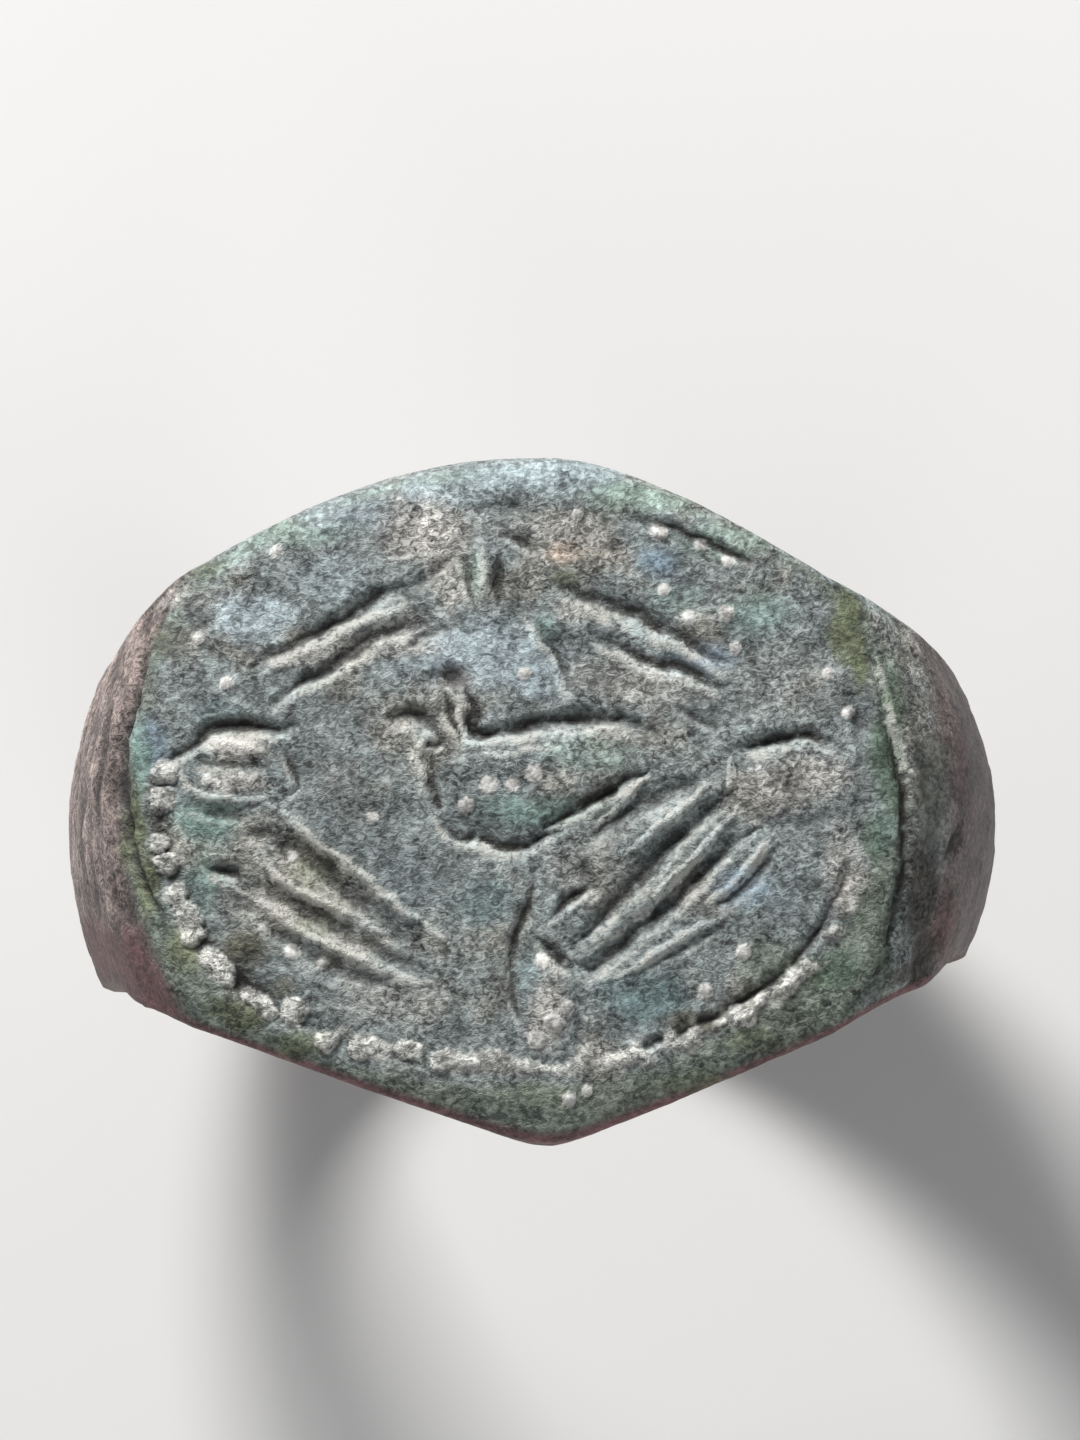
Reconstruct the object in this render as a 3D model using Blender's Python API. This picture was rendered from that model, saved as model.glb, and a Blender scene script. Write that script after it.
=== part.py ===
"""Cast bronze seal ring: a broad carved bezel on a hoop that narrows towards its back.

The ring stands as it is shown, bezel upwards, on a small flat at the back of the hoop.
X runs across the bezel, Y along the finger and Z up. The origin is the middle of the flat.
The band is one closed skin. Its carved face is triangulated from the outlines of the cuts.
"""
import math

import bpy
import numpy as np
from mathutils import Vector
from mathutils.geometry import delaunay_2d_cdt

MM = 0.001

# Finger hole and hoop
FINGER_DIAMETER = 19.6 * MM
BACK_THICKNESS = 1.5 * MM
SIDE_THICKNESS = 2.3 * MM
BACK_WIDTH = 5.6 * MM
WAIST_WIDTH_LEFT = 7.7 * MM
WAIST_WIDTH_RIGHT = 6.7 * MM
REST_FLAT = 7.0 * MM
BACK_DOME = 0.06 * MM
SIDE_DOME = 0.73 * MM

# Bezel: its flat face is a lozenge with two rounded tips and two broad ends that bow outwards.
# The bow is a share of the end's reach. Each of its four sides has its own width at the corner, as a
# share of the half length, and its own fullness.
BEZEL_THICKNESS = 2.4 * MM
FACE_LENGTH = 17.3 * MM
END_BOW = 0.16
CORNER_SHARE = {(-1, 1): 0.711, (1, 1): 0.646, (-1, -1): 0.677, (1, -1): 0.695}
FULLNESS = {(-1, 1): 1.84, (1, 1): 1.39, (-1, -1): 1.03, (1, -1): 1.05}
TIP_ROUNDING = 0.04

# Shoulders: how far they stand out past the face, how fast the band flares into it, and the
# crease that parts them from the rim
SHOULDER_STEP_LEFT = 2.0 * MM
SHOULDER_STEP_RIGHT = 3.5 * MM
SHOULDER_FLARE = 3.65 * MM
CREASE_OFFSET = 0.45 * MM
CREASE_WIDTH = 0.55 * MM
CREASE_DEPTH_LEFT = 0.12 * MM
CREASE_DEPTH_RIGHT = 0.3 * MM

# Worn edges
OUTER_EDGE = 0.26 * MM
INNER_EDGE = 0.3 * MM

# Border groove inside the rim of the face. The rim's width is a share of the face's reach there.
RIM_LEFT = 0.045
RIM_RIGHT = 0.07
RIM_TOP = 0.14
RIM_BOTTOM = 0.23
BORDER_SQUARENESS = 2.3
BORDER_WIDTH = 0.5 * MM
BORDER_DEPTH = 0.24 * MM

# Engraver's cuts: a broad one, a middling one and a fine one, as width and depth
BROAD = (0.76 * MM, 0.38 * MM)
MEDIUM = (0.58 * MM, 0.3 * MM)
FINE = (0.42 * MM, 0.19 * MM)
SWELL = 0.18 * MM

# How finely the skin is divided
FACE_STEPS = 24
ACROSS_STEPS = 12
INNER_STEPS = 4
BORDER_STEPS = 64
CUT_STEP = 0.6 * MM
FIELD_SPACING = 0.62 * MM
CLEAR_OF_CUTS = 0.24 * MM
MERGE = 0.02 * MM

BRONZE = (0.17, 0.2, 0.18, 1.0)

# Worked out from the sizes above
FINGER_RADIUS = FINGER_DIAMETER / 2
HOLE_HEIGHT = BACK_THICKNESS + FINGER_RADIUS
FACE_HEIGHT = FINGER_RADIUS + BEZEL_THICKNESS
WAIST_REACH = FINGER_RADIUS + SIDE_THICKNESS
BACK_REACH = HOLE_HEIGHT / math.sqrt(1 - (REST_FLAT / 2 / WAIST_REACH) ** 2)
FACE_REACH = {-1: WAIST_REACH - SHOULDER_STEP_LEFT, 1: WAIST_REACH - SHOULDER_STEP_RIGHT}
WAIST_WIDTH = {-1: WAIST_WIDTH_LEFT, 1: WAIST_WIDTH_RIGHT}
CREASE_DEPTH = {-1: CREASE_DEPTH_LEFT, 1: CREASE_DEPTH_RIGHT}
HALF_LENGTH = FACE_LENGTH / 2
MEAN_REACH = (FACE_REACH[-1] + FACE_REACH[1]) / 2
BORDER_HIGH = np.array([FACE_REACH[1] * (1 - RIM_RIGHT), HALF_LENGTH * (1 - RIM_TOP)])
BORDER_LOW = np.array([-FACE_REACH[-1] * (1 - RIM_LEFT), -HALF_LENGTH * (1 - RIM_BOTTOM)])
BORDER_REACH = (BORDER_HIGH - BORDER_LOW) / 2
BORDER_MIDDLE = (BORDER_HIGH + BORDER_LOW) / 2


# Form of the band. A place round it is its turn: 0 on the line of the two tips, 1 at an end of
# the face, 2 at the waist of the hoop and 3 at the middle of its back, below 0 on the left.

def side_of(turn):
    return -1 if turn < 0 else 1


def face_end(side, across):
    """How far the flat of the face reaches on one side. across is 0 in the middle, 1 at an edge."""
    return FACE_REACH[side] * (1 - END_BOW * across ** 2)


def outer_point(turn, across):
    """(x, z) of the outside of the band, from the middle of the finger hole."""
    side, way = side_of(turn), abs(turn)
    end = face_end(side, across)
    waist = WAIST_REACH - SIDE_DOME * across ** 2
    if way <= 1:
        return side * way * end, FACE_HEIGHT
    if way <= 2:
        angle = (way - 1) * math.pi / 2
        past = (waist - end) * math.sin(angle)
        sunk = CREASE_DEPTH[side] * math.exp(-((past - CREASE_OFFSET) / (CREASE_WIDTH / 2)) ** 2)
        return side * (end + past), FACE_HEIGHT * math.cos(angle) - sunk
    angle = (way - 2) * math.pi / 2
    low = (BACK_REACH - BACK_DOME * across ** 2) * math.sin(angle)
    return side * waist * math.cos(angle), -min(low, HOLE_HEIGHT)


def half_width(turn, edge):
    """Half of the band's width at a turn. edge is 1 towards +Y and -1 towards -Y."""
    side, way = side_of(turn), abs(turn)
    corner = CORNER_SHARE[side, edge] * HALF_LENGTH
    if way <= 1:
        share = (math.hypot(way, TIP_ROUNDING) - TIP_ROUNDING) / (math.hypot(1, TIP_ROUNDING) - TIP_ROUNDING)
        return HALF_LENGTH + (corner - HALF_LENGTH) * share ** FULLNESS[side, edge]
    x, z = outer_point(turn, 0)
    gone = math.hypot(abs(x) - FACE_REACH[side], z - FACE_HEIGHT)
    waist = WAIST_WIDTH[side] / 2
    width = waist + (corner - waist) * math.exp(-gone / SHOULDER_FLARE)
    lower = max(way - 2, 0)
    return width + (BACK_WIDTH / 2 - width) * lower * lower * (3 - 2 * lower)


def place(turn, across, y, depth):
    """A point of the band, that deep below its outside, on the line to the hole's middle."""
    x, z = outer_point(turn, across)
    share = 1 - depth / math.hypot(x, z)
    return Vector((x * share, y, z * share + HOLE_HEIGHT))


def outer_row(turn):
    """Points across the outside, from the -Y edge to the +Y edge."""
    row = []
    for step in range(ACROSS_STEPS + 1):
        across = 2 * step / ACROSS_STEPS - 1
        edge = -1 if across < 0 else 1
        y = across * (half_width(turn, edge) - OUTER_EDGE)
        row.append(place(turn, across, y, 0))
    return row


def edge_row(turn, edge):
    """Points down one side of the band: over the worn outer edge, down the wall, round the inner edge."""
    width = half_width(turn, edge)
    thickness = math.hypot(*outer_point(turn, 1)) - FINGER_RADIUS
    row = []
    for angle in (math.pi / 4, math.pi / 2):
        y = width - OUTER_EDGE + OUTER_EDGE * math.sin(angle)
        row.append(place(turn, 1, edge * y, OUTER_EDGE * (1 - math.cos(angle))))
    for angle in (0, math.pi / 4, math.pi / 2):
        y = width - INNER_EDGE + INNER_EDGE * math.cos(angle)
        row.append(place(turn, 1, edge * y, thickness - INNER_EDGE * (1 - math.sin(angle))))
    return row


def inner_row(turn):
    """Points across the finger hole's wall, from +Y to -Y, without its two worn edges."""
    x, z = outer_point(turn, 1)
    share = FINGER_RADIUS / math.hypot(x, z)
    high = half_width(turn, 1) - INNER_EDGE
    low = half_width(turn, -1) - INNER_EDGE
    steps = range(1, INNER_STEPS)
    return [Vector((x * share, high - (high + low) * s / INNER_STEPS, z * share + HOLE_HEIGHT)) for s in steps]


def half_turns(side):
    """Turns past one end of the face: the crease, the shoulder, the hoop and the edge of the flat."""
    step = WAIST_REACH - FACE_REACH[side]
    crease = [1 + math.asin(min(share * CREASE_OFFSET / step, 0.9)) * 2 / math.pi for share in (0.5, 1, 1.6)]
    shoulder = [turn for turn in np.linspace(crease[-1], 2, 9)[1:]]
    flat_edge = 2 + math.acos(REST_FLAT / 2 / WAIST_REACH) * 2 / math.pi
    hoop = list(np.linspace(2, flat_edge, 12)[1:])
    return crease + shoulder + hoop + [(flat_edge + 3) / 2]


def all_turns():
    """Turns of the sections, from the left end of the face over it and round the hoop."""
    face = [2 * step / FACE_STEPS - 1 for step in range(FACE_STEPS + 1)]
    right = half_turns(1)
    left = [-turn for turn in half_turns(-1)]
    return face + right + [3.0] + left[::-1]


# Carving. Places on the face are shares of its reach in X and of its half length in Y. Each cut
# is one pass of the graver: its size and the places it goes through.

def on_face(point):
    return np.array([point[0] * MEAN_REACH, point[1] * HALF_LENGTH])


def smooth_line(points):
    """Points along a smooth curve through a few places on the face, about one cut step apart."""
    knots = [on_face(p) for p in points]
    knots = [2 * knots[0] - knots[1]] + knots + [2 * knots[-1] - knots[-2]]
    line = [knots[1]]
    for a, b, c, d in zip(knots, knots[1:], knots[2:], knots[3:]):
        count = max(2, math.ceil(np.linalg.norm(c - b) / CUT_STEP))
        for t in np.linspace(0, 1, count + 1)[1:]:
            bend = 2 * b + (c - a) * t + (2 * a - 5 * b + 4 * c - d) * t * t + (3 * b - a - 3 * c + d) * t ** 3
            line.append(bend / 2)
    return line


FRAME_CUTS = [
    (MEDIUM, (-0.78, 0.39), (-0.68, 0.45), (-0.58, 0.5), (-0.43, 0.6), (-0.35, 0.62)),
    (MEDIUM, (-0.75, 0.26), (-0.59, 0.38), (-0.54, 0.41), (-0.46, 0.47), (-0.28, 0.52)),
    (MEDIUM, (-0.01, 0.63), (0.17, 0.57), (0.32, 0.49), (0.4, 0.43), (0.54, 0.37)),
    (FINE, (0.1, 0.49), (0.2, 0.44), (0.29, 0.39), (0.45, 0.33), (0.51, 0.29)),
    (FINE, (0.34, 0.26), (0.4, 0.23), (0.48, 0.18)),
    (MEDIUM, (-0.02, 0.53), (0.01, 0.45), (0.05, 0.37), (0.06, 0.29)),
    (BROAD, (-0.8, -0.11), (-0.67, -0.14), (-0.59, -0.21), (-0.41, -0.38), (-0.3, -0.47)),
    (BROAD, (-0.83, -0.22), (-0.73, -0.27), (-0.63, -0.33), (-0.42, -0.46), (-0.3, -0.51)),
    (MEDIUM, (-0.8, -0.32), (-0.72, -0.39), (-0.63, -0.45), (-0.52, -0.51), (-0.41, -0.55)),
    (MEDIUM, (-0.91, -0.19), (-0.86, -0.2), (-0.81, -0.22)),
    (FINE, (-0.81, -0.1), (-0.75, -0.09), (-0.7, -0.11)),
]

FEATHER_CUTS = [
    (MEDIUM, (-0.03, -0.1), (0.05, -0.05), (0.14, 0), (0.23, 0.05), (0.3, 0.07)),
    (BROAD, (0.08, -0.14), (0.15, -0.09), (0.23, -0.04), (0.32, 0), (0.43, 0.04)),
    (FINE, (-0, -0.36), (0.06, -0.3), (0.13, -0.25)),
    (BROAD, (0.07, -0.43), (0.2, -0.28), (0.25, -0.24), (0.31, -0.17), (0.52, 0.02)),
    (BROAD, (0.05, -0.49), (0.2, -0.43), (0.36, -0.28), (0.42, -0.21), (0.57, -0.1)),
    (MEDIUM, (0.46, -0.33), (0.54, -0.25), (0.62, -0.17)),
]

ARM_CUTS = [
    (MEDIUM, (-1.05, 0.11), (-0.97, 0.14), (-0.91, 0.2), (-0.73, 0.21), (-0.64, 0.23)),
    (FINE, (-0.95, 0.12), (-0.86, 0.1), (-0.74, 0.1)),
    (FINE, (-0.7, 0.17), (-0.69, 0.11), (-0.67, 0.05), (-0.69, 0.02)),
    (FINE, (-0.2, 0.72), (-0.2, 0.64), (-0.19, 0.55)),
    (FINE, (-0.11, 0.71), (-0.12, 0.63), (-0.13, 0.54)),
    (FINE, (-0.1, 0.78), (-0.06, 0.75), (0, 0.72)),
    (MEDIUM, (0.51, 0.13), (0.59, 0.15), (0.66, 0.17), (0.73, 0.17), (0.79, 0.14)),
    (FINE, (0.49, 0.15), (0.51, 0.09), (0.5, 0.02)),
    (FINE, (-0.1, -0.44), (-0.1, -0.54), (-0.09, -0.66)),
    (MEDIUM, (-0.04, -0.4), (0.02, -0.47), (0.08, -0.52)),
]

BIRD_CUTS = [
    (MEDIUM, (-0.21, 0.18), (-0.03, 0.22), (0.04, 0.23), (0.13, 0.23), (0.3, 0.18)),
    (FINE, (-0.27, 0.32), (-0.25, 0.25), (-0.23, 0.16)),
    (FINE, (-0.22, 0.34), (-0.19, 0.28), (-0.18, 0.23), (-0.2, 0.18)),
    (BROAD, (-0.3, 0.34), (-0.25, 0.35), (-0.2, 0.32)),
    (MEDIUM, (-0.42, 0.23), (-0.36, 0.25), (-0.3, 0.22), (-0.28, 0.19)),
    (FINE, (-0.32, 0.17), (-0.3, 0.15), (-0.27, 0.16)),
    (FINE, (-0.3, 0.14), (-0.31, 0.04), (-0.29, -0.06)),
    (FINE, (-0.3, -0.03), (-0.19, -0.12), (-0.11, -0.14), (-0.05, -0.14), (0.06, -0.09)),
    (FINE, (-0.02, -0.17), (-0.04, -0.26), (-0.07, -0.35), (-0.1, -0.49), (-0.1, -0.58)),
    (BROAD, (0.03, -0.23), (0.09, -0.22), (0.14, -0.28)),
]

# Swellings of the ground: the middle, the reach along X and along Y, and a share of the swell
SWELLS = {
    "body": ((-0.04, 0.05), 0.28, 0.16, 1.0),
    "left arm": ((-0.79, 0.09), 0.18, 0.1, 0.8),
    "right arm": ((0.7, 0.04), 0.17, 0.12, 0.9),
    "top arm": ((-0.12, 0.64), 0.09, 0.13, 0.7),
    "bottom arm": ((0.03, -0.6), 0.09, 0.14, 0.8),
}


class Cut:
    """One pass of the graver: a line that swells from its start and thins out at its end."""

    def __init__(self, points, size):
        self.line = np.array(smooth_line(points))
        self.half, self.depth = size[0] / 2, size[1]
        gaps = np.linalg.norm(np.diff(self.line, axis=0), axis=1)
        self.way = np.concatenate([[0], np.cumsum(gaps)]) / gaps.sum()

    def swell(self, way):
        return math.sqrt(max(math.sin(math.pi * way), 0))

    def outline(self):
        """The closed outline of the cut, as points round it."""
        slope = np.gradient(self.line, axis=0)
        normal = np.stack([-slope[:, 1], slope[:, 0]], axis=1)
        normal /= np.linalg.norm(normal, axis=1)[:, None]
        reach = np.array([self.swell(way) * self.half for way in self.way])[:, None]
        left, right = self.line + normal * reach, self.line - normal * reach
        return [self.line[0], *left[1:-1], self.line[-1], *right[-2:0:-1]]

    def depth_at(self, point):
        deepest = 0
        for a, b, from_way, to_way in zip(self.line, self.line[1:], self.way, self.way[1:]):
            along = b - a
            share = min(max(float((point - a) @ along / (along @ along)), 0), 1)
            swell = self.swell(from_way + (to_way - from_way) * share)
            if swell > 0:
                away = np.linalg.norm(point - a - along * share) / (swell * self.half)
                deepest = max(deepest, self.depth * swell * (1 - away))
        return deepest


def border_point(angle, inward):
    """A point of the border groove's middle line, or that far inside it."""
    way = np.array([math.cos(angle), math.sin(angle)])
    round_way = np.sign(way) * np.abs(way) ** (2 / BORDER_SQUARENESS)
    return BORDER_MIDDLE + (BORDER_REACH - inward) * round_way


def border_depth(point):
    """Depth of the border groove at a point, by how far it is from the groove's middle line."""
    share = np.sum(np.abs((point - BORDER_MIDDLE) / BORDER_REACH) ** BORDER_SQUARENESS) ** (1 / BORDER_SQUARENESS)
    away = np.linalg.norm(point - BORDER_MIDDLE) * abs(1 - 1 / max(share, 0.01))
    return BORDER_DEPTH * max(0, 1 - away / (BORDER_WIDTH / 2))


def swelling(point):
    """How far the bird's body and the four arms swell out of the ground."""
    rise = 0
    for middle, reach_x, reach_y, share in SWELLS.values():
        x, y = (point - on_face(middle)) / on_face((reach_x, reach_y))
        rise = max(rise, SWELL * share * (1 - x * x - y * y))
    return rise


def face_cuts():
    """Every cut inside the border."""
    return [Cut(points, size) for size, *points in FRAME_CUTS + FEATHER_CUTS + ARM_CUTS + BIRD_CUTS]


def face_relief(point, cuts):
    depth = max(border_depth(point), max(cut.depth_at(point) for cut in cuts))
    return swelling(point) - depth


def field_points(outline, drawn):
    """Points over the open ground of the face, clear of its outline and of every cut."""
    taken = np.array(drawn)
    found = []
    row_gap = FIELD_SPACING * math.sqrt(3) / 2
    for row in range(-round(HALF_LENGTH / row_gap), round(HALF_LENGTH / row_gap) + 1):
        reach = round(WAIST_REACH / FIELD_SPACING)
        for column in range(-reach, reach + 1):
            point = np.array([(column + row % 2 / 2) * FIELD_SPACING, row * row_gap])
            clear = np.linalg.norm(taken - point, axis=1).min() > CLEAR_OF_CUTS
            if clear and inside(point, outline):
                found.append(point)
    return found


def inside(point, outline):
    """Whether a point is inside a closed outline, by counting the edges that it sees."""
    seen = False
    for a, b in zip(outline, np.roll(outline, -1, axis=0)):
        if (a[1] > point[1]) != (b[1] > point[1]):
            if point[0] < a[0] + (b[0] - a[0]) * (point[1] - a[1]) / (b[1] - a[1]):
                seen = not seen
    return seen


class Drawing:
    """Points and lines on the face, gathered before they are triangulated."""

    def __init__(self):
        self.points, self.lines = [], []

    def add(self, points, closed):
        first = len(self.points)
        self.points += [tuple(p) for p in points]
        count = len(points)
        last = count if closed else count - 1
        self.lines += [(first + k, first + (k + 1) % count) for k in range(last)]


def draw_face(outline, cuts):
    drawing = Drawing()
    drawing.add(outline, closed=True)
    for inward in (-BORDER_WIDTH / 2, 0, BORDER_WIDTH / 2):
        angles = np.arange(BORDER_STEPS) * 2 * math.pi / BORDER_STEPS
        drawing.add([border_point(angle, inward) for angle in angles], closed=True)
    for cut in cuts:
        drawing.add(cut.outline(), closed=True)
        drawing.add(cut.line, closed=False)
    drawing.points += [tuple(p) for p in field_points(np.array(outline), drawing.points)]
    return drawing


def build_band():
    """The whole ring as one mesh: rows round the band, and the triangulated face between them."""
    turns = all_turns()
    points, faces, rows = [], [], []
    for turn in turns:
        outer = outer_row(turn)
        row = outer + edge_row(turn, 1) + inner_row(turn) + edge_row(turn, -1)[::-1]
        on_top = abs(turn) < 1
        indices = []
        for k, point in enumerate(row):
            if on_top and 0 < k < ACROSS_STEPS:
                indices.append(None)
                continue
            indices.append(len(points))
            points.append(point)
        rows.append(indices)
    for number, row in enumerate(rows):
        following = rows[(number + 1) % len(rows)]
        for k in range(len(row)):
            after = (k + 1) % len(row)
            if number < FACE_STEPS and k < ACROSS_STEPS:
                continue
            faces.append((row[k], following[k], following[after], row[after]))
    loop = ([row[0] for row in rows[:FACE_STEPS + 1]] + rows[FACE_STEPS][1:ACROSS_STEPS]
            + [row[ACROSS_STEPS] for row in rows[FACE_STEPS::-1]] + rows[0][ACROSS_STEPS - 1:0:-1])
    add_face(points, faces, loop)
    return points, faces


def add_face(points, faces, loop):
    """Triangulates the carved face inside its loop, and lifts each new point by the relief."""
    cuts = face_cuts()
    outline = [(points[k].x, points[k].y) for k in loop]
    drawing = draw_face(outline, cuts)
    flat = [Vector(p) for p in drawing.points]
    made, _, triangles, sources, _, _ = delaunay_2d_cdt(flat, drawing.lines, [], 1, MERGE)
    number = {}
    for k, (point, source) in enumerate(zip(made, sources)):
        edge = [s for s in source if s < len(loop)]
        if edge:
            number[k] = loop[edge[0]]
            continue
        number[k] = len(points)
        height = FACE_HEIGHT + HOLE_HEIGHT + face_relief(np.array(point), cuts)
        points.append(Vector((point.x, point.y, height)))
    for triangle in triangles:
        corners = [number[k] for k in triangle]
        if len(set(corners)) == 3:
            faces.append(tuple(corners))


def bronze():
    material = bpy.data.materials.new("patinated bronze")
    material.use_nodes = True
    shader = material.node_tree.nodes["Principled BSDF"]
    shader.inputs["Base Color"].default_value = BRONZE
    shader.inputs["Metallic"].default_value = 0.4
    shader.inputs["Roughness"].default_value = 0.6
    return material


def make_ring():
    points, faces = build_band()
    mesh = bpy.data.meshes.new("seal_ring")
    mesh.from_pydata(points, [], faces)
    mesh.validate()
    mesh.update()
    mesh.shade_smooth()
    mesh.set_sharp_from_angle(angle=math.radians(32))
    mesh.materials.append(bronze())
    ring = bpy.data.objects.new("seal_ring", mesh)
    bpy.context.scene.collection.objects.link(ring)
    return ring


for old in list(bpy.data.objects):
    bpy.data.objects.remove(old)
make_ring()
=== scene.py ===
# %% [markdown]
# # A cast bronze seal ring
#
# This lesson dresses the plain solid of an ancient bronze ring. Its broad face is carved with a bird
# inside a lozenge frame, and long burial has given it a grainy grey-green skin. We keep the solid's
# sizes and build one finer skin over it, then colour that skin by what each spot went through:
# deep cuts hold dirt, high edges are rubbed pale, and the shoulders wear a brown crust. Some of the
# colour is painted light: a pale highlight below the cuts and on the top of the rim, and painted
# shade on the rest of the rim, on the far right shoulder and in the low spots of the fine relief,
# with the far left of the crust painted lighter.
#
# The first cell loads the solid. Its box is kept, because the finer skin has to stay inside it.

import math
from itertools import product

import bpy
import numpy as np
from mathutils import Matrix, Vector


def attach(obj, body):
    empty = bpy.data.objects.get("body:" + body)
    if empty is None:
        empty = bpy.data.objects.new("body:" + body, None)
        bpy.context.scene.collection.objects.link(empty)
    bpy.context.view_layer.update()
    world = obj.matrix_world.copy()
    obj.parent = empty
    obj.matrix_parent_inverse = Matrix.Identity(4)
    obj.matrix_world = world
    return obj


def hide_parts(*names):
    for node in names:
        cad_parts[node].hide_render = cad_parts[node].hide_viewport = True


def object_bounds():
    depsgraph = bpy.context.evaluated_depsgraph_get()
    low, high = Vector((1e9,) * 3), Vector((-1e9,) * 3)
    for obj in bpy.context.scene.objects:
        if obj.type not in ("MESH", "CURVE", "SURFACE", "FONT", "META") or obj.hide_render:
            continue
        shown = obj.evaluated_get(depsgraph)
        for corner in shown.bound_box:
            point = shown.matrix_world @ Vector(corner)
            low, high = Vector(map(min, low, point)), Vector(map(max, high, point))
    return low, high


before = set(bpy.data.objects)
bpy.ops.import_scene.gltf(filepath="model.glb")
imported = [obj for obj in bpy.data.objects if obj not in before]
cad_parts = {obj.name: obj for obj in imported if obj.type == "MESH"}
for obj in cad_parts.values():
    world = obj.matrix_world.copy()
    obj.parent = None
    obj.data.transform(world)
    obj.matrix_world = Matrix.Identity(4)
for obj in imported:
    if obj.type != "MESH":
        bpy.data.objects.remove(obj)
solid_low, solid_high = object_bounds()
MM = 0.001

# %% [markdown]
# ## The camera
#
# The picture was taken from nearly straight above the seal. The camera leans a few degrees towards its
# lower tip and its left end, so a thin line of the lower wall shows and the left shoulder is broader.
# A small object photographed through a long lens has little perspective. We choose the distance first,
# and then the lens that gives the right scale: the ring is about 24 mm across its shoulders, which lie
# lower than the face, and there it fills 923 of the picture's 1080 pixels.

# %% Camera
IMAGE_WIDTH, IMAGE_HEIGHT = 1080, 1440
PIXELS_PER_MM = 39.93
CAMERA_DISTANCE = 250 * MM
LEAN_DOWN, LEAN_LEFT, ROLL = math.radians(5.33), math.radians(1.92), math.radians(0.85)
FACE_Z = 23.5 * MM
AIM_RIGHT, AIM_UP = -0.16 * MM, 1.92 * MM


def make_camera():
    camera = bpy.data.objects.new("camera", bpy.data.cameras.new("camera"))
    bpy.context.scene.collection.objects.link(camera)
    back = Vector((-math.sin(LEAN_LEFT), -math.sin(LEAN_DOWN), 1)).normalized()
    level = Vector((0, 1, 0)).cross(back).normalized()
    turned = Matrix.Rotation(-ROLL, 3, back)
    right = turned @ level
    up = turned @ back.cross(level)
    camera.rotation_euler = Matrix((right, up, back)).transposed().to_euler()
    camera.location = Vector((0, 0, FACE_Z)) + right * AIM_RIGHT + up * AIM_UP + back * CAMERA_DISTANCE
    picture_height = IMAGE_HEIGHT / PIXELS_PER_MM * MM
    camera.data.lens = camera.data.sensor_width * CAMERA_DISTANCE / picture_height
    camera.data.clip_start, camera.data.clip_end = 10 * MM, 5000 * MM
    bpy.context.scene.camera = camera
    return camera


camera = make_camera()
print("lens", round(camera.data.lens), "mm")

# %% [markdown]
# ## The form of the band
#
# The ring was cast in one piece, so it is one skin here too. A place round the band is called its
# *turn*: 0 on the line between the two tips, 1 at an end of the face, 2 at the side of the hoop and 3
# at the middle of its back, with minus signs on the left. A place from edge to edge is called
# *across*. Two small formulas give the outside's section and the band's width at any turn. The sizes
# are the solid's own, but for the tips, the outer edge and the lower sides of the shoulders, which
# wear has made slightly rounder.

# %% Sizes of the band
FINGER_RADIUS = 9.8 * MM
HOLE_HEIGHT = 11.3 * MM
FACE_HEIGHT = 12.2 * MM
SIDE_REACH = 12.1 * MM
REST_FLAT = 7.0 * MM
BACK_REACH = HOLE_HEIGHT / math.sqrt(1 - (REST_FLAT / 2 / SIDE_REACH) ** 2)
FACE_REACH = np.array([10.1, 8.6]) * MM
FACE_BOW = 0.16
SIDE_DOME, BACK_DOME = 0.73 * MM, 0.06 * MM
HALF_LENGTH = 8.65 * MM
CORNER_WIDTH = HALF_LENGTH * np.array([[0.677, 0.711], [0.695, 0.646]])
FULLNESS = np.array([[1.03, 1.84], [1.05, 1.39]])
TIP_ROUNDING = 0.1
HALF_SIDE_WIDTH, HALF_BACK_WIDTH = np.array([3.85, 3.35]) * MM, 2.8 * MM
FLARE = 3.65 * MM
LUMP_HEIGHT, LUMP_PLACE, LUMP_REACH = 0.25 * MM, 3.4 * MM, 1.6 * MM
OUTER_EDGE, INNER_EDGE = 0.28 * MM, 0.3 * MM


def outer_point(turn, across):
    """x and z of the outside, from the middle of the finger hole. Both arguments may be arrays."""
    turn, across = np.broadcast_arrays(turn, across)
    side, way = np.where(turn < 0, -1, 1), np.abs(turn)
    end = FACE_REACH[(side > 0).astype(int)] * (1 - FACE_BOW * across ** 2)
    reach = SIDE_REACH - SIDE_DOME * across ** 2
    lower = np.clip(way - 1, 0, 1) * np.pi / 2
    upper_x = np.where(way < 1, way * end, end + (reach - end) * np.sin(lower))
    upper_z = FACE_HEIGHT * np.cos(lower)
    back = np.clip(way - 2, 0, 1) * np.pi / 2
    lower_z = -np.minimum((BACK_REACH - BACK_DOME * across ** 2) * np.sin(back), HOLE_HEIGHT)
    x = np.where(way <= 2, upper_x, reach * np.cos(back))
    return side * x, np.where(way <= 2, upper_z, lower_z)


def half_width(turn, edge):
    """Half of the width at a turn, towards +Y where edge is 1 and towards -Y where it is 0."""
    side, way = int(turn > 0), abs(turn)
    corner = CORNER_WIDTH[side, edge]
    if way <= 1:
        whole = math.hypot(1, TIP_ROUNDING) - TIP_ROUNDING
        share = (math.hypot(way, TIP_ROUNDING) - TIP_ROUNDING) / whole
        return HALF_LENGTH + (corner - HALF_LENGTH) * share ** FULLNESS[side, edge]
    x, z = outer_point(turn, 0.0)
    gone = math.hypot(abs(x) - FACE_REACH[side], z - FACE_HEIGHT)
    width = HALF_SIDE_WIDTH[side] + (corner - HALF_SIDE_WIDTH[side]) * math.exp(-gone / FLARE)
    width += LUMP_HEIGHT * (1 - edge) * math.exp(-((gone - LUMP_PLACE) / LUMP_REACH) ** 2)
    lower = max(way - 2, 0)
    return width + (HALF_BACK_WIDTH - width) * lower * lower * (3 - 2 * lower)


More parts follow.
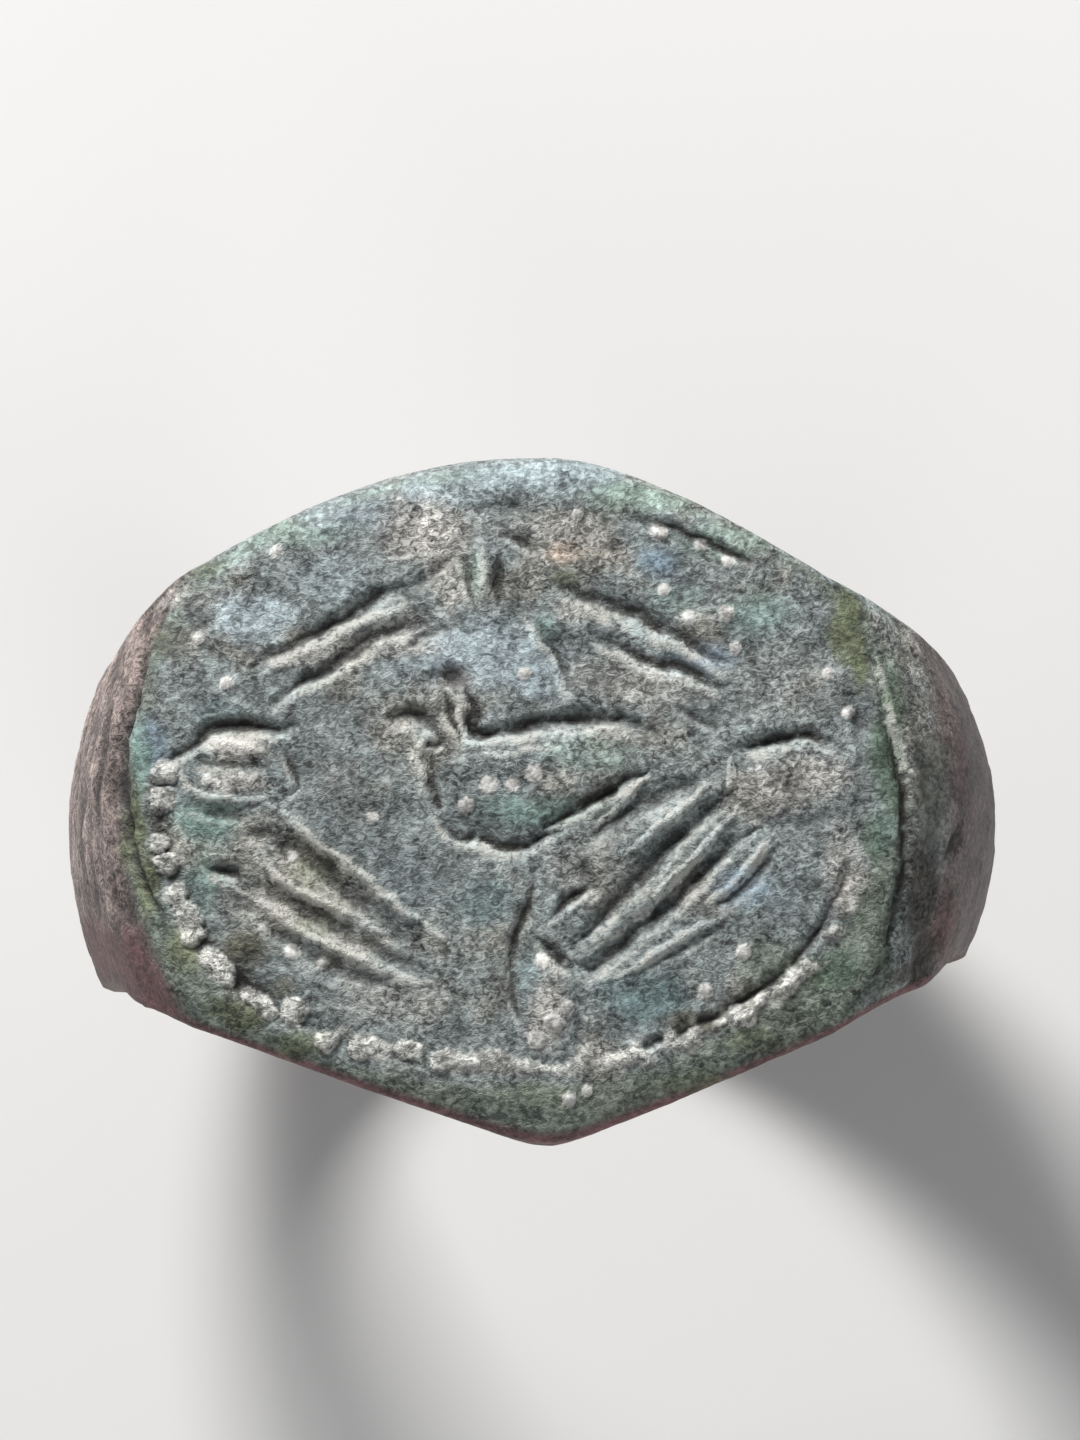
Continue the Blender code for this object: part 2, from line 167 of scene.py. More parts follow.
print("half width at the tips", round(half_width(0, 1) / MM, 2), "mm")
print("half width at the back", round(half_width(3, 1) / MM, 2), "mm")

# %% [markdown]
# ## The skin as a grid
#
# The skin is a closed grid: sections stand one behind another round the band, and each section runs
# over the outside, down one wall, through the finger hole and up the other wall. A rounded edge joins
# each wall to the outside, and another joins it to the hole.

# %% Sections
ACROSS, EDGE, WALL, INSIDE = 66, 2, 2, 4
FINE = 3
SEAM = 1.42


def section(turn, fine):
    """Points round one section, with their zone: 0 outside, 1 wall, 2 finger hole."""
    across = np.linspace(-1, 1, ACROSS * fine + 1)
    high, low = half_width(turn, 1), half_width(turn, 0)
    x, z = outer_point(turn, across)
    y = np.where(across > 0, across * (high - OUTER_EDGE), across * (low - OUTER_EDGE))
    outside = np.stack([x, y, z], axis=1)
    edge_x, edge_z = outer_point(turn, 1.0)
    thickness = math.hypot(edge_x, edge_z) - FINGER_RADIUS
    bend = np.linspace(0, np.pi / 2, EDGE * fine + 1)
    fall = np.linspace(OUTER_EDGE, thickness - INNER_EDGE, WALL * fine + 1)
    depth = np.concatenate([OUTER_EDGE * (1 - np.cos(bend[1:])), fall[1:],
                            thickness - INNER_EDGE * (1 - np.sin(bend[1:]))])
    back = np.concatenate([OUTER_EDGE * (1 - np.sin(bend[1:])), fall[1:] * 0,
                           INNER_EDGE * (1 - np.cos(bend[1:]))])
    share = 1 - depth / math.hypot(edge_x, edge_z)
    walls = [np.stack([edge_x * share, sign * (width - back), edge_z * share], axis=1)
             for sign, width in ((1, high), (-1, low))]
    hole_y = np.linspace(high - INNER_EDGE, INNER_EDGE - low, INSIDE * fine + 1)[1:-1]
    even = np.ones_like(hole_y)
    hole = np.stack([even * edge_x * share[-1], hole_y, even * edge_z * share[-1]], axis=1)
    points = np.concatenate([outside, walls[0], hole, walls[1][::-1]])
    zone = np.repeat([0, 1, 2, 1], [len(outside), len(depth), len(hole), len(depth)])
    points[:, 2] += HOLE_HEIGHT
    return points, zone


face_turns = np.linspace(-1, 1, 281)
shoulder = 1 + (SEAM - 1) * np.linspace(0, 1, 21)[1:]
top_turns = np.concatenate([-shoulder[::-1], face_turns, shoulder])
side_turns = np.linspace(SEAM, 2, 34)[1:]
back_turns = np.linspace(2, 3, 72)[1:]
hoop_turns = np.concatenate([side_turns, back_turns[:-1], [3.0], -back_turns[-2::-1], -side_turns[::-1]])
print(len(top_turns), "fine sections and", len(hoop_turns), "plain ones")

# %% [markdown]
# ## Two grids and a seam
#
# The face needs points less than a tenth of a millimetre apart to hold the carving. The plain hoop
# doesn't, so its sections have a third of the points, and one row of six-cornered faces joins the two
# grids on each side. That keeps the whole skin closed and under 200,000 triangles.

# %% Join the sections into one skin
def grid(turns, fine):
    made = [section(turn, fine) for turn in turns]
    points = np.array([points for points, _ in made])
    zones = np.array([zone for _, zone in made])
    return points, zones


def quads(first, rows, columns):
    """Four-cornered faces of a grid whose points start at this number, closed across its columns."""
    row, column = np.meshgrid(np.arange(rows - 1), np.arange(columns), indexing="ij")
    after = (column + 1) % columns
    corners = [row * columns + column, (row + 1) * columns + column,
               (row + 1) * columns + after, row * columns + after]
    return (first + np.stack(corners, axis=-1).reshape(-1, 4)).tolist()


def seam(fine_first, plain_first, plain_columns, outward):
    """Six-cornered faces between a fine section and a plain one."""
    faces = []
    for k in range(plain_columns):
        fine = [fine_first + (k * FINE + step) % (plain_columns * FINE) for step in range(FINE + 1)]
        plain = [plain_first + k, plain_first + (k + 1) % plain_columns]
        face = fine + plain[::-1]
        faces.append(face[::-1] if outward else face)
    return faces


top_points, top_zones = grid(top_turns, FINE)
hoop_points, hoop_zones = grid(hoop_turns, 1)
fine_columns, plain_columns = top_points.shape[1], hoop_points.shape[1]
hoop_first = top_points.shape[0] * fine_columns
faces = quads(0, len(top_turns), fine_columns) + quads(hoop_first, len(hoop_turns), plain_columns)
last_fine = (len(top_turns) - 1) * fine_columns
last_plain = hoop_first + (len(hoop_turns) - 1) * plain_columns
faces += seam(last_fine, hoop_first, plain_columns, outward=True)
faces += seam(0, last_plain, plain_columns, outward=False)

skin = bpy.data.meshes.new("seal_ring_skin")
base = np.concatenate([top_points.reshape(-1, 3), hoop_points.reshape(-1, 3)])
zone = np.concatenate([top_zones.ravel(), hoop_zones.ravel()])
turn = np.concatenate([np.repeat(top_turns, fine_columns), np.repeat(hoop_turns, plain_columns)])
skin.from_pydata(base, [], faces)
skin.update()
normal = np.empty(len(base) * 3)
skin.vertex_normals.foreach_get("vector", normal)
normal = normal.reshape(-1, 3)
triangles = sum(len(face) - 2 for face in faces)
print(len(base), "points and", triangles, "triangles")
print("the face looks up:", normal[(zone == 0) & (abs(turn) < 0.9)].mean(axis=0)[2] > 0.99)

# %% [markdown]
# ## Natural unevenness
#
# Nothing on an old casting is quite even. This helper gives soft noise: lumps of a chosen size, from
# -1 to 1, the same on every run. It drives the ragged edges of the cuts, the pitting and the crust.

# %% Soft noise
def soft_noise(points, size, seed):
    """Smooth noise at each point, between -1 and 1, whose lumps are about this size."""
    scaled = points / size + seed * 19.7
    cell = np.floor(scaled).astype(np.int64)
    part = scaled - cell
    part = part * part * (3 - 2 * part)
    total = np.zeros(len(points))
    for corner in product((0, 1), repeat=points.shape[1]):
        place = cell + np.array(corner)
        key = (place * np.array([73856093, 19349663, 83492791])[:points.shape[1]]).sum(axis=1) + seed * 7919
        key = (key ^ (key >> 13)) * 1274126177 & 0xFFFFFFFF
        value = ((key ^ (key >> 15)) & 0xFFFF) / 32767.5 - 1
        total += value * np.prod(np.where(corner, part, 1 - part), axis=1)
    return total


def layered_noise(points, size, seed, layers=3):
    """Several soft noises, each half the size and half the height of the one before."""
    total = sum(soft_noise(points, size / 2 ** k, seed + k) / 2 ** k for k in range(layers))
    return total / sum(0.5 ** k for k in range(layers))


def smooth_step(low, high, value):
    share = np.clip((value - low) / (high - low), 0, 1)
    return share * share * (3 - 2 * share)


tried = soft_noise(base[:5000], 0.5 * MM, 1)
print("noise spans", tried.min().round(2), "to", tried.max().round(2))

# %% [markdown]
# ## Carving the seal
#
# The engraver cut the design with a graver, one tapering stroke at a time. Each stroke here is a list
# of places in millimetres from the middle of the face, with a width and a depth. For every point of
# the face we measure how far it is from the stroke's middle line, and lower it along a worn V-shaped
# profile. Where two strokes meet, the deeper one wins, which leaves a crisp ridge between neighbours.
#
# The frame comes first: a lozenge whose upper sides and lower left side are broad cuts side by side.

# %% Strokes of the frame
FRAME_STROKES = [
    (0.58, 0.28, (-7.27, 3.37), (-6.35, 3.91), (-5.46, 4.34), (-4.72, 4.72), (-4.05, 5.22),
     (-3.24, 5.33)),
    (0.4, 0.12, (-3.39, 5.26), (-2.72, 5.71), (-2.12, 6.15)),
    (0.58, 0.3, (-7, 2.26), (-6.22, 2.88), (-5.47, 3.31), (-5.03, 3.56), (-4.29, 4.03), (-3.55, 4.33),
     (-2.59, 4.47)),
    (0.35, 0.1, (-3.56, 3.77), (-2.96, 4.09), (-2.37, 4.38)),
    (0.58, 0.3, (-0.05, 5.49), (0.75, 5.17), (1.56, 4.91), (2.36, 4.57), (3.02, 4.2), (3.74, 3.75),
     (4.47, 3.37), (5.02, 3.2)),
    (0.46, 0.26, (0.96, 4.26), (1.83, 3.77), (2.71, 3.39), (3.44, 3.2), (4.17, 2.84), (4.76, 2.55)),
    (0.3, 0.14, (3.21, 2.28), (3.72, 2.01), (4.45, 1.6)),
    (0.55, 0.18, (-0.2, 4.56), (0.14, 3.87), (0.51, 3.17), (0.58, 2.55)),
    (0.85, 0.3, (-7.45, -0.97), (-6.22, -1.25), (-5.47, -1.84), (-4.71, -2.54), (-3.8, -3.32),
     (-2.81, -4.07)),
    (0.7, 0.26, (-7.77, -1.89), (-6.85, -2.32), (-5.86, -2.84), (-4.88, -3.39), (-3.89, -3.98),
     (-2.82, -4.41)),
    (0.6, 0.16, (-7.47, -2.74), (-6.72, -3.36), (-5.88, -3.91), (-4.89, -4.39), (-3.82, -4.78)),
    (0.5, 0.26, (-8.49, -1.61), (-8.03, -1.69), (-7.54, -1.93)),
    (0.4, 0.14, (-7.6, -0.89), (-6.98, -0.78), (-6.53, -0.98)),
]
print(len(FRAME_STROKES), "strokes in the frame")

# %% [markdown]
# The bird's tail and the frame's lower right side run into each other here, as a fan of long cuts
# with narrow bars left between them.

# %% Strokes of the tail
FEATHER_STROKES = [
    (0.5, 0.3, (-0.28, -0.9), (0.5, -0.44), (1.35, 0.04), (2.12, 0.44), (2.81, 0.64)),
    (0.8, 0.24, (0.79, -1.22), (1.41, -0.76), (2.19, -0.31), (2.96, 0.03), (4.04, 0.37)),
    (0.42, 0.22, (-0, -3.09), (0.54, -2.6), (1.2, -2.15)),
    (0.7, 0.36, (0.64, -3.72), (1.3, -3.15), (1.86, -2.46), (2.3, -2.08), (2.9, -1.43), (3.95, -0.49),
     (4.84, 0.16)),
    (0.75, 0.42, (0.51, -4.2), (1.17, -4.28), (1.84, -3.7), (2.58, -3.05), (3.33, -2.43), (3.92, -1.85),
     (4.52, -1.34), (5.37, -0.83)),
    (0.6, 0.15, (4.28, -2.85), (5.09, -2.12), (5.8, -1.43)),
    (0.3, 0.08, (2.42, -4.3), (3.53, -3.72), (4.71, -3.18)),
]
print(len(FEATHER_STROKES), "strokes in the tail")

# %% [markdown]
# A short arm stands at each corner of the frame. The left one is the clearest: cuts outline a small
# block and divide it into bars. The others are blunter.

# %% Strokes of the arms
ARM_STROKES = [
    (0.52, 0.3, (-9.84, 0.94), (-9.1, 1.22), (-8.48, 1.74), (-7.87, 1.9), (-6.87, 1.79), (-6.02, 1.95)),
    (0.42, 0.16, (-8.91, 1.01), (-8.03, 0.9), (-6.88, 0.85)),
    (0.4, 0.18, (-6.57, 1.48), (-6.42, 0.94), (-6.22, 0.4), (-6.43, 0.13)),
    (0.4, 0.12, (-9.12, -0.1), (-8.2, -0.27), (-7.29, -0.36)),
    (0.36, 0.16, (-1.87, 6.25), (-1.91, 5.55), (-1.81, 4.74)),
    (0.4, 0.2, (-1.02, 6.13), (-1.1, 5.47), (-1.19, 4.66)),
    (0.36, 0.18, (-0.98, 6.76), (-0.54, 6.46), (0.01, 6.19)),
    (0.5, 0.3, (4.74, 1.15), (5.47, 1.29), (6.21, 1.47), (6.87, 1.46), (7.38, 1.19)),
    (0.36, 0.14, (4.59, 1.3), (4.73, 0.78), (4.65, 0.2)),
    (0.36, 0.16, (-0.96, -3.82), (-0.94, -4.7), (-0.8, -5.74)),
    (0.48, 0.28, (-0.37, -3.45), (0.21, -4.05), (0.72, -4.46)),
]
print(len(ARM_STROKES), "strokes in the arms")

# %% [markdown]
# The bird looks to the left. Its back and its belly are one long cut each, and short deep ones set off
# the head, the beak and the neck. A thin line runs down from the belly to the lower tip.

# %% Strokes of the bird
BIRD_STROKES = [
    (0.58, 0.36, (-1.93, 1.58), (-1.16, 1.65), (-0.24, 1.87), (0.38, 1.98), (1.22, 1.97), (1.99, 1.9),
     (2.83, 1.53)),
    (0.3, 0.08, (-1, 2.07), (-0.23, 2.3), (0.5, 2.46)),
    (0.42, 0.24, (-2.49, 2.75), (-2.34, 2.13), (-2.14, 1.42)),
    (0.5, 0.26, (-2.06, 2.93), (-1.78, 2.43), (-1.71, 1.97), (-1.89, 1.55)),
    (0.5, 0.36, (-1.85, 2.43), (-1.89, 1.78), (-1.66, 1.56), (-0.97, 1.65)),
    (0.85, 0.34, (-2.83, 2.97), (-2.33, 3.07), (-1.83, 2.74)),
    (0.6, 0.32, (-3.95, 2.01), (-3.34, 2.12), (-2.84, 1.94), (-2.58, 1.63)),
    (0.3, 0.2, (-3, 1.48), (-2.81, 1.3), (-2.51, 1.36)),
    (0.5, 0.2, (-2.85, 1.21), (-2.87, 0.36), (-2.69, -0.48)),
    (0.44, 0.24, (-2.76, -0.29), (-2.39, -0.91), (-1.74, -1.07), (-1.05, -1.23), (-0.51, -1.22),
     (0.03, -0.96), (0.57, -0.74)),
    (0.4, 0.2, (-0.17, -1.51), (-0.39, -2.28), (-0.62, -3.05), (-0.81, -3.51), (-0.94, -4.2),
     (-0.94, -5.04)),
    (0.8, 0.16, (0.32, -1.98), (0.86, -1.91), (1.31, -2.38)),
]
print(len(BIRD_STROKES), "strokes in the bird")

# %% [markdown]
# Creases part the shoulders from the rim of the face. They are made like strokes, but their sides
# aren't rubbed pale, so they keep a list of their own.

# %% Creases of the shoulders
SHOULDER_STROKES = [
    (0.38, 0.32, (-9.9, 4.45), (-10.19, 3.14), (-10.41, 2.22), (-10.59, 1.68), (-10.64, 0.84),
     (-10.58, -0.24), (-10.37, -1.32), (-10, -2.32), (-9.55, -3.18), (-9.24, -3.72)),
    (0.36, 0.28, (8.03, 4.41), (8.26, 3.45), (8.56, 2.4), (8.79, 1.36), (8.97, 0.23), (9.08, -0.57),
     (8.98, -1.37), (8.87, -2.33), (8.69, -3.21), (8.47, -4.01), (8.01, -5.13)),
    (0.4, 0.2, (10.64, -0.39), (10.35, -1.07), (10.1, -1.75)),
    (0.5, 0.08, (9.01, 2.8), (9.31, 1.67), (9.5, 0.71), (9.61, -0.58)),
    (0.8, 0.2, (9.78, -3.31), (9.61, -3.91), (9.3, -4.42)),
]
print(len(SHOULDER_STROKES), "creases")

# %% [markdown]
# Thin ridges stand along many of the cuts, where the graver pushed the metal up and wear has
# brightened it. They are given in the same way, with a height in place of the depth.

# %% Ridges beside the cuts
RIDGES = [
    (0.28, 0.14, (8.26, 3.61), (8.52, 2.64), (8.81, 1.52), (9.04, 0.71), (9.39, 0.37)),
    (0.26, 0.09, (-2.18, 2.66), (-2.13, 2.05), (-1.99, 1.42)),
    (0.34, 0.1, (-2.85, 1.75), (-3.14, 1.29), (-3.28, 0.91), (-3.11, 0.44), (-3.26, -0.05)),
    (0.3, 0.07, (-2.05, 1.36), (-1.01, 1.34), (-0.24, 1.56), (0.22, 1.75)),
    (0.34, 0.06, (-2.09, 1.01), (-1.02, 1.02), (-0.24, 1.24), (0.44, 1.16)),
    (0.34, 0.07, (-2.58, -1.12), (-1.89, -1.17), (-1.43, -1.33), (-0.82, -1.54)),
    (0.26, 0.1, (-0.5, 4.57), (-0.24, 3.95), (0.17, 3.52), (0.33, 3.02)),
    (0.26, 0.13, (-9.17, 0.97), (-9, 0.3), (-8.2, 0.1), (-7.28, 0.01), (-6.62, 0.21)),
    (0.34, 0.08, (-8.95, 1.09), (-8.18, 1.36), (-7.41, 1.32), (-6.65, 1.16)),
    (0.34, 0.14, (-7.2, 0.07), (-6.37, -0.6), (-5.61, -1.22), (-4.85, -1.77), (-3.79, -2.71),
     (-3.03, -3.25), (-2.35, -3.8)),
    (0.3, 0.12, (-7.3, -1.36), (-6.54, -2.06), (-5.63, -2.61), (-4.75, -2.99)),
    (0.3, 0.12, (-8.31, -1.98), (-7.32, -2.51), (-6.41, -3.14), (-5.49, -3.69), (-4.58, -4.16),
     (-3.44, -4.57), (-2.36, -4.74)),
    (0.5, 0.06, (-6.95, 3.18), (-5.76, 3.9), (-4.57, 4.48), (-3.25, 4.91), (-2.51, 5.04)),
    (0.5, 0.07, (-1.53, 6.47), (-1.51, 5.7), (-1.41, 4.96)),
    (0.5, 0.06, (1.04, 4.52), (2.21, 4.21), (3.45, 3.68), (4.69, 2.85)),
    (0.4, 0.06, (0.73, -4.13), (1.69, -3.48), (2.59, -2.61), (3.41, -2.03), (3.93, -1.33), (4.75, -0.71)),
    (0.3, 0.1, (1.38, -4.58), (1.97, -4.44), (2.86, -3.86), (3.68, -3.36), (4.64, -3.07)),
    (0.3, 0.1, (3.76, -2.77), (4.35, -2.48), (5.25, -1.75), (5.7, -1.17)),
    (0.3, 0.1, (4.59, 1.15), (4.65, 0.49), (4.57, 0.05)),
    (0.3, 0.12, (1.08, -0.8), (1.26, -0.67), (1.87, -0.25), (2.5, 0.44), (2.66, 0.59)),
    (0.34, 0.12, (1.87, -1.49), (2.08, -1.34), (2.81, -0.82), (3.54, -0.27), (4.1, 0.25), (4.26, 0.37)),
    (0.3, 0.14, (1.95, -3.27), (2.15, -3.15), (2.63, -2.83), (2.79, -2.43), (3.27, -1.98), (3.93, -1.38),
     (4.41, -0.84), (4.9, -0.29), (5, -0.14)),
    (0.28, 0.12, (1.78, -4.55), (1.95, -4.43), (2.61, -4.03), (3.17, -3.56), (3.9, -3.17), (4.1, -3.07)),
    (0.34, 0.12, (3.96, -2.87), (4.11, -2.72), (4.57, -2.37), (5.13, -1.73), (5.54, -1.18),
     (5.64, -1.05)),
    (0.24, 0.1, (-7.25, -1.5), (-6.63, -2.04), (-6.11, -2.29), (-5.46, -2.63), (-4.81, -2.89),
     (-4.67, -2.99)),
    (0.26, 0.12, (-7.31, -2.33), (-7.16, -2.48), (-6.57, -3.07), (-6, -3.4), (-5.48, -3.68),
     (-4.83, -4.02), (-4.18, -4.2), (-3.54, -4.54), (-3.24, -4.62)),
    (0.24, 0.1, (-7.08, 0.13), (-6.93, -0.07), (-6.28, -0.58), (-5.64, -1.24), (-5.05, -1.65),
     (-4.55, -2.19)),
]
print(len(RIDGES), "ridges")

# %% [markdown]
# ## Cutting the strokes
#
# A smooth curve runs through a stroke's places. The cut is deepest on that curve and tapers at both
# ends. Soft noise bends the lines a little and varies their depth, as corrosion has left them ragged.
# For the colours we also keep how much dirt a cut holds, and where the side below it faces the light
# and gets a painted highlight.

# %% Depth of the strokes
def smooth_path(knots, step=0.25):
    """Points along a smooth curve through the knots, in millimetres."""
    knots = [np.array(k, float) for k in knots]
    knots = [2 * knots[0] - knots[1]] + knots + [2 * knots[-1] - knots[-2]]
    path = [knots[1]]
    for a, b, c, d in zip(knots, knots[1:], knots[2:], knots[3:]):
        for t in np.linspace(0, 1, max(2, int(np.linalg.norm(c - b) / step)) + 1)[1:]:
            bend = (2 * a - 5 * b + 4 * c - d) * t ** 2 + (3 * b - a - 3 * c + d) * t ** 3
            path.append((2 * b + (c - a) * t + bend) / 2)
    return np.array(path)


def stroke_share(points, width, knots):
    """How deep one stroke is at each point, as a share of its depth."""
    path = smooth_path(knots)
    lengths = np.linalg.norm(np.diff(path, axis=0), axis=1)
    begun = np.concatenate([[0], np.cumsum(lengths)]) / lengths.sum()
    deepest = np.zeros(len(points))
    for a, b, start, end in zip(path, path[1:], begun, begun[1:]):
        along = b - a
        share = np.clip((points - a) @ along / (along @ along), 0, 1)
        away = np.linalg.norm(points - a - share[:, None] * along, axis=1)
        swell = np.sqrt(np.clip(np.sin(np.pi * np.clip(start + (end - start) * share, 0.02, 0.98)), 0, 1))
        wall = 1.08 - np.sqrt((away / (swell * width / 2)) ** 2 + 0.0064)
        deepest = np.maximum(deepest, swell * np.clip(wall, 0, 1))
    return deepest


STROKES = FRAME_STROKES + FEATHER_STROKES + ARM_STROKES + BIRD_STROKES
RAGGED_BY = 0.11
CARVED_ABOVE = 15 * MM
face = (zone == 0) & (base[:, 2] > CARVED_ABOVE)
flat = base[face][:, :2] / MM
ragged = np.stack([layered_noise(flat, 0.45, 3), layered_noise(flat, 0.45, 8)], axis=1)
drawn = flat + RAGGED_BY * ragged
cut, dirty, inside, lip, lower_wall_highlight = np.zeros((5, len(flat)))
force = 0.75 + 0.45 * layered_noise(flat, 0.8, 13)
for width, depth, *knots in STROKES + SHOULDER_STROKES:
    share = stroke_share(drawn, 1.05 * width, knots)
    cut = np.maximum(cut, force * depth * share)
    inside = np.maximum(inside, share)
    strength = min(depth / 0.2, 1) * min(0.5 / width, 1)
    dirty = np.maximum(dirty, strength * smooth_step(0.25, 0.75, share))
# Painted highlight: the side below each cut, which faces the light, is painted pale.
for width, depth, *knots in STROKES:
    lower_side = stroke_share(drawn + [0.15 * width, 0.5 * width], 0.9 * width, knots)
    strength = min(depth / 0.28, 1) * min(0.45 / width, 1)
    lower_wall_highlight = np.maximum(lower_wall_highlight, strength * smooth_step(0.1, 0.6, lower_side))
for width, height, *knots in RIDGES:
    lip = np.maximum(lip, height * stroke_share(drawn, width, knots))
print("deepest cut", cut.max().round(2), "mm, highest ridge", lip.max().round(2), "mm")

# %% [markdown]
# ## Border and beads
#
# An oval groove runs inside the rim. It is given by angle round the seal, as a depth and a half width,
# because wear has left it broad on the left, sharp at the lower right and faint and broken at the top.
# Worn bars stand in it on the left like beads. Below, they have worn together into a knobbly rope, and
# at the lower right a low wall runs just outside the groove.

# %% Border groove and beads
BORDER_SQUARENESS = 2.3
BORDER_REACH = np.array([8.82, 7.05])
BORDER_MIDDLE = np.array([-0.82, 0.39])
GROOVE = [
    (0, 0.1, 0.2), (40, 0.16, 0.2), (62, 0.2, 0.18), (92, 0.16, 0.18), (104, 0.04, 0.2),
    (116, 0.09, 0.16), (126, 0.02, 0.2), (142, 0.06, 0.16), (154, 0.05, 0.2), (166, 0.05, 0.3),
    (178, 0.14, 0.42), (200, 0.2, 0.46), (225, 0.24, 0.46), (245, 0.16, 0.4), (262, 0.08, 0.3),
    (278, 0.07, 0.25), (292, 0.17, 0.22), (325, 0.2, 0.22), (340, 0.09, 0.18), (360, 0.05, 0.2),
]
BEAD_HEIGHT, ROPE_HEIGHT, WALL_HEIGHT, WALL_OFFSET = 0.16, 0.2, 0.2, 0.36
BEADS = [
    (-9.53, 0.75, 0.34, 0.32), (-9.6, 0.06, 0.3, 0.34), (-9.71, -0.98, 0.23, 0.3),
    (-9.53, -1.52, 0.32, 0.3), (-9.32, -2.26, 0.3, 0.34), (-9.05, -2.87, 0.48, 0.28),
    (-8.86, -3.38, 0.23, 0.28), (-8.26, -4.15, 0.6, 0.31), (-7.24, -5.05, 0.57, 0.25),
    (-6.36, -5.29, 0.32, 0.34), (-6.51, -5.38, 0.23, 0.23), (-5.56, -6.05, 0.29, 0.25),
    (-4.69, -6.28, 0.39, 0.23), (-3.49, -6.3, 0.34, 0.21), (-2.69, -6.63, 0.32, 0.29),
]


def border(points):
    """How far each point is outside the border's middle line, in mm, and its angle round the seal."""
    scaled = (points - BORDER_MIDDLE) / BORDER_REACH
    powers = (np.abs(scaled) ** BORDER_SQUARENESS).sum(axis=1)
    share = np.maximum(powers ** (1 / BORDER_SQUARENESS), 0.01)
    outward = np.linalg.norm(points - BORDER_MIDDLE, axis=1) * (1 - 1 / share)
    return outward, np.degrees(np.arctan2(scaled[:, 1], scaled[:, 0])) % 360


def bead_height(points, x, y, along, radial):
    """A worn bar on the border: flat-topped, longer along the border than it is broad."""
    way = np.array([x, y]) - BORDER_MIDDLE
    way = way / BORDER_REACH ** 2
    way = way / np.linalg.norm(way)
    offset = points - np.array([x, y])
    out = offset @ way
    beside = offset @ np.array([-way[1], way[0]])
    away = np.abs(out / radial) ** 3 + np.abs(beside / along) ** 3
    return BEAD_HEIGHT * np.clip(1 - away, 0, 1) ** 0.5


outward, angle = border(drawn)
angles, depths, reaches = np.array(GROOVE).T
outward = outward + 0.2 * smooth_step(285, 300, angle) * (1 - smooth_step(345, 355, angle))
outward = outward + 0.12 * smooth_step(35, 50, angle) * (1 - smooth_step(95, 105, angle))
reach = np.interp(angle, angles, reaches)
worn = 0.75 + 0.5 * layered_noise(flat, 1.1, 23)
gaps = smooth_step(-0.25, 0.25, layered_noise(flat, 0.9, 27))
broken = 1 - smooth_step(60, 75, angle) * (angle < 178) * gaps
profile = np.clip(1.05 - np.sqrt((outward / reach) ** 2 + 0.0025), 0, 1)
groove = np.interp(angle, angles, depths) * worn * broken * profile
beads = np.zeros(len(flat))
knobbly = np.stack([layered_noise(flat, 0.4, 31), layered_noise(flat, 0.4, 36)], axis=1)
for bead in BEADS:
    beads = np.maximum(beads, bead_height(flat + 0.14 * knobbly, *bead))
rope = smooth_step(225, 245, angle) * (1 - smooth_step(292, 310, angle))
twists = smooth_step(-0.2, 0.4, layered_noise(flat, 0.6, 29, 2))
rope = ROPE_HEIGHT * rope * np.exp(-(outward / 0.24) ** 2) * twists
beads = np.maximum(beads, rope)
wall = smooth_step(286, 300, angle) * (1 - smooth_step(328, 342, angle))
notches = smooth_step(-0.4, 0.3, layered_noise(flat, 0.5, 33, 2))
wall = WALL_HEIGHT * wall * np.exp(-((outward - WALL_OFFSET) / 0.22) ** 2) * notches
beads = np.maximum(beads, wall)
print(len(BEADS), "beads, the highest", beads.max().round(2), "mm")

# %% [markdown]
# ## Swellings and pellets
#
# The bird's body and the arms of the frame swell gently between the cuts. Small round pellets lie on
# the bird and in the ground. They have come out paler than the crust round them, and the larger ones
# have a shallow dimple.

# %% Swellings and pellets
SWELLS = [
    ((-0.5, 0.47), (2.6, 1.4), 0.2),
    ((-7.53, 0.9), (1.7, 0.9), 0.14),
    ((6.33, 0.29), (1.6, 1.05), 0.18),
    ((-1.23, 5.5), (0.85, 1.15), 0.12),
    ((0.01, -5.2), (0.8, 1.2), 0.14),
    ((0.94, -2.9), (0.65, 0.45), 0.12),
]
PELLETS = [
    (-1.45, 0.31, 0.23), (-0.86, 0.3, 0.19), (-0.32, 0.6, 0.24), (-2.02, -0.2, 0.22), (-0.52, 3.11, 0.18),
    (2.94, 6.67, 0.23), (4, 6.36, 0.19), (4.66, 5.91, 0.19), (3.03, 5.19, 0.17), (3.65, 4.48, 0.19),
    (4.58, 4.57, 0.21), (0.89, 7.13, 0.17), (7.12, 3.04, 0.17), (7.62, 2.04, 0.17), (4.81, 3.7, 0.16),
    (-6.4, -3.79, 0.21), (-7.96, 2.96, 0.17), (-8.5, 0.54, 0.15), (-5.65, -4.11, 0.17),
    (-7.1, -3.21, 0.18), (-4.37, -0.47, 0.16), (-6.38, -1.37, 0.15), (3.91, -4.91, 0.21),
    (4.88, -3.96, 0.21), (0.46, -7.59, 0.19), (0.9, -7.38, 0.16), (0.08, -5.67, 0.27),
    (-0.33, -6.07, 0.25), (0.42, -5.31, 0.21), (-0.15, -4.12, 0.21), (4.64, -5.36, 0.17),
    (-8.66, 4.12, 0.17), (-7.98, 2.97, 0.18), (-6.68, 6.27, 0.17),
]


def swelling(points):
    rise = np.zeros(len(points))
    for middle, reach, height in SWELLS:
        away = (((points - np.array(middle)) / np.array(reach)) ** 2).sum(axis=1)
        rise = np.maximum(rise, height * np.clip(1 - away, 0, 1) ** 0.8)
    return rise


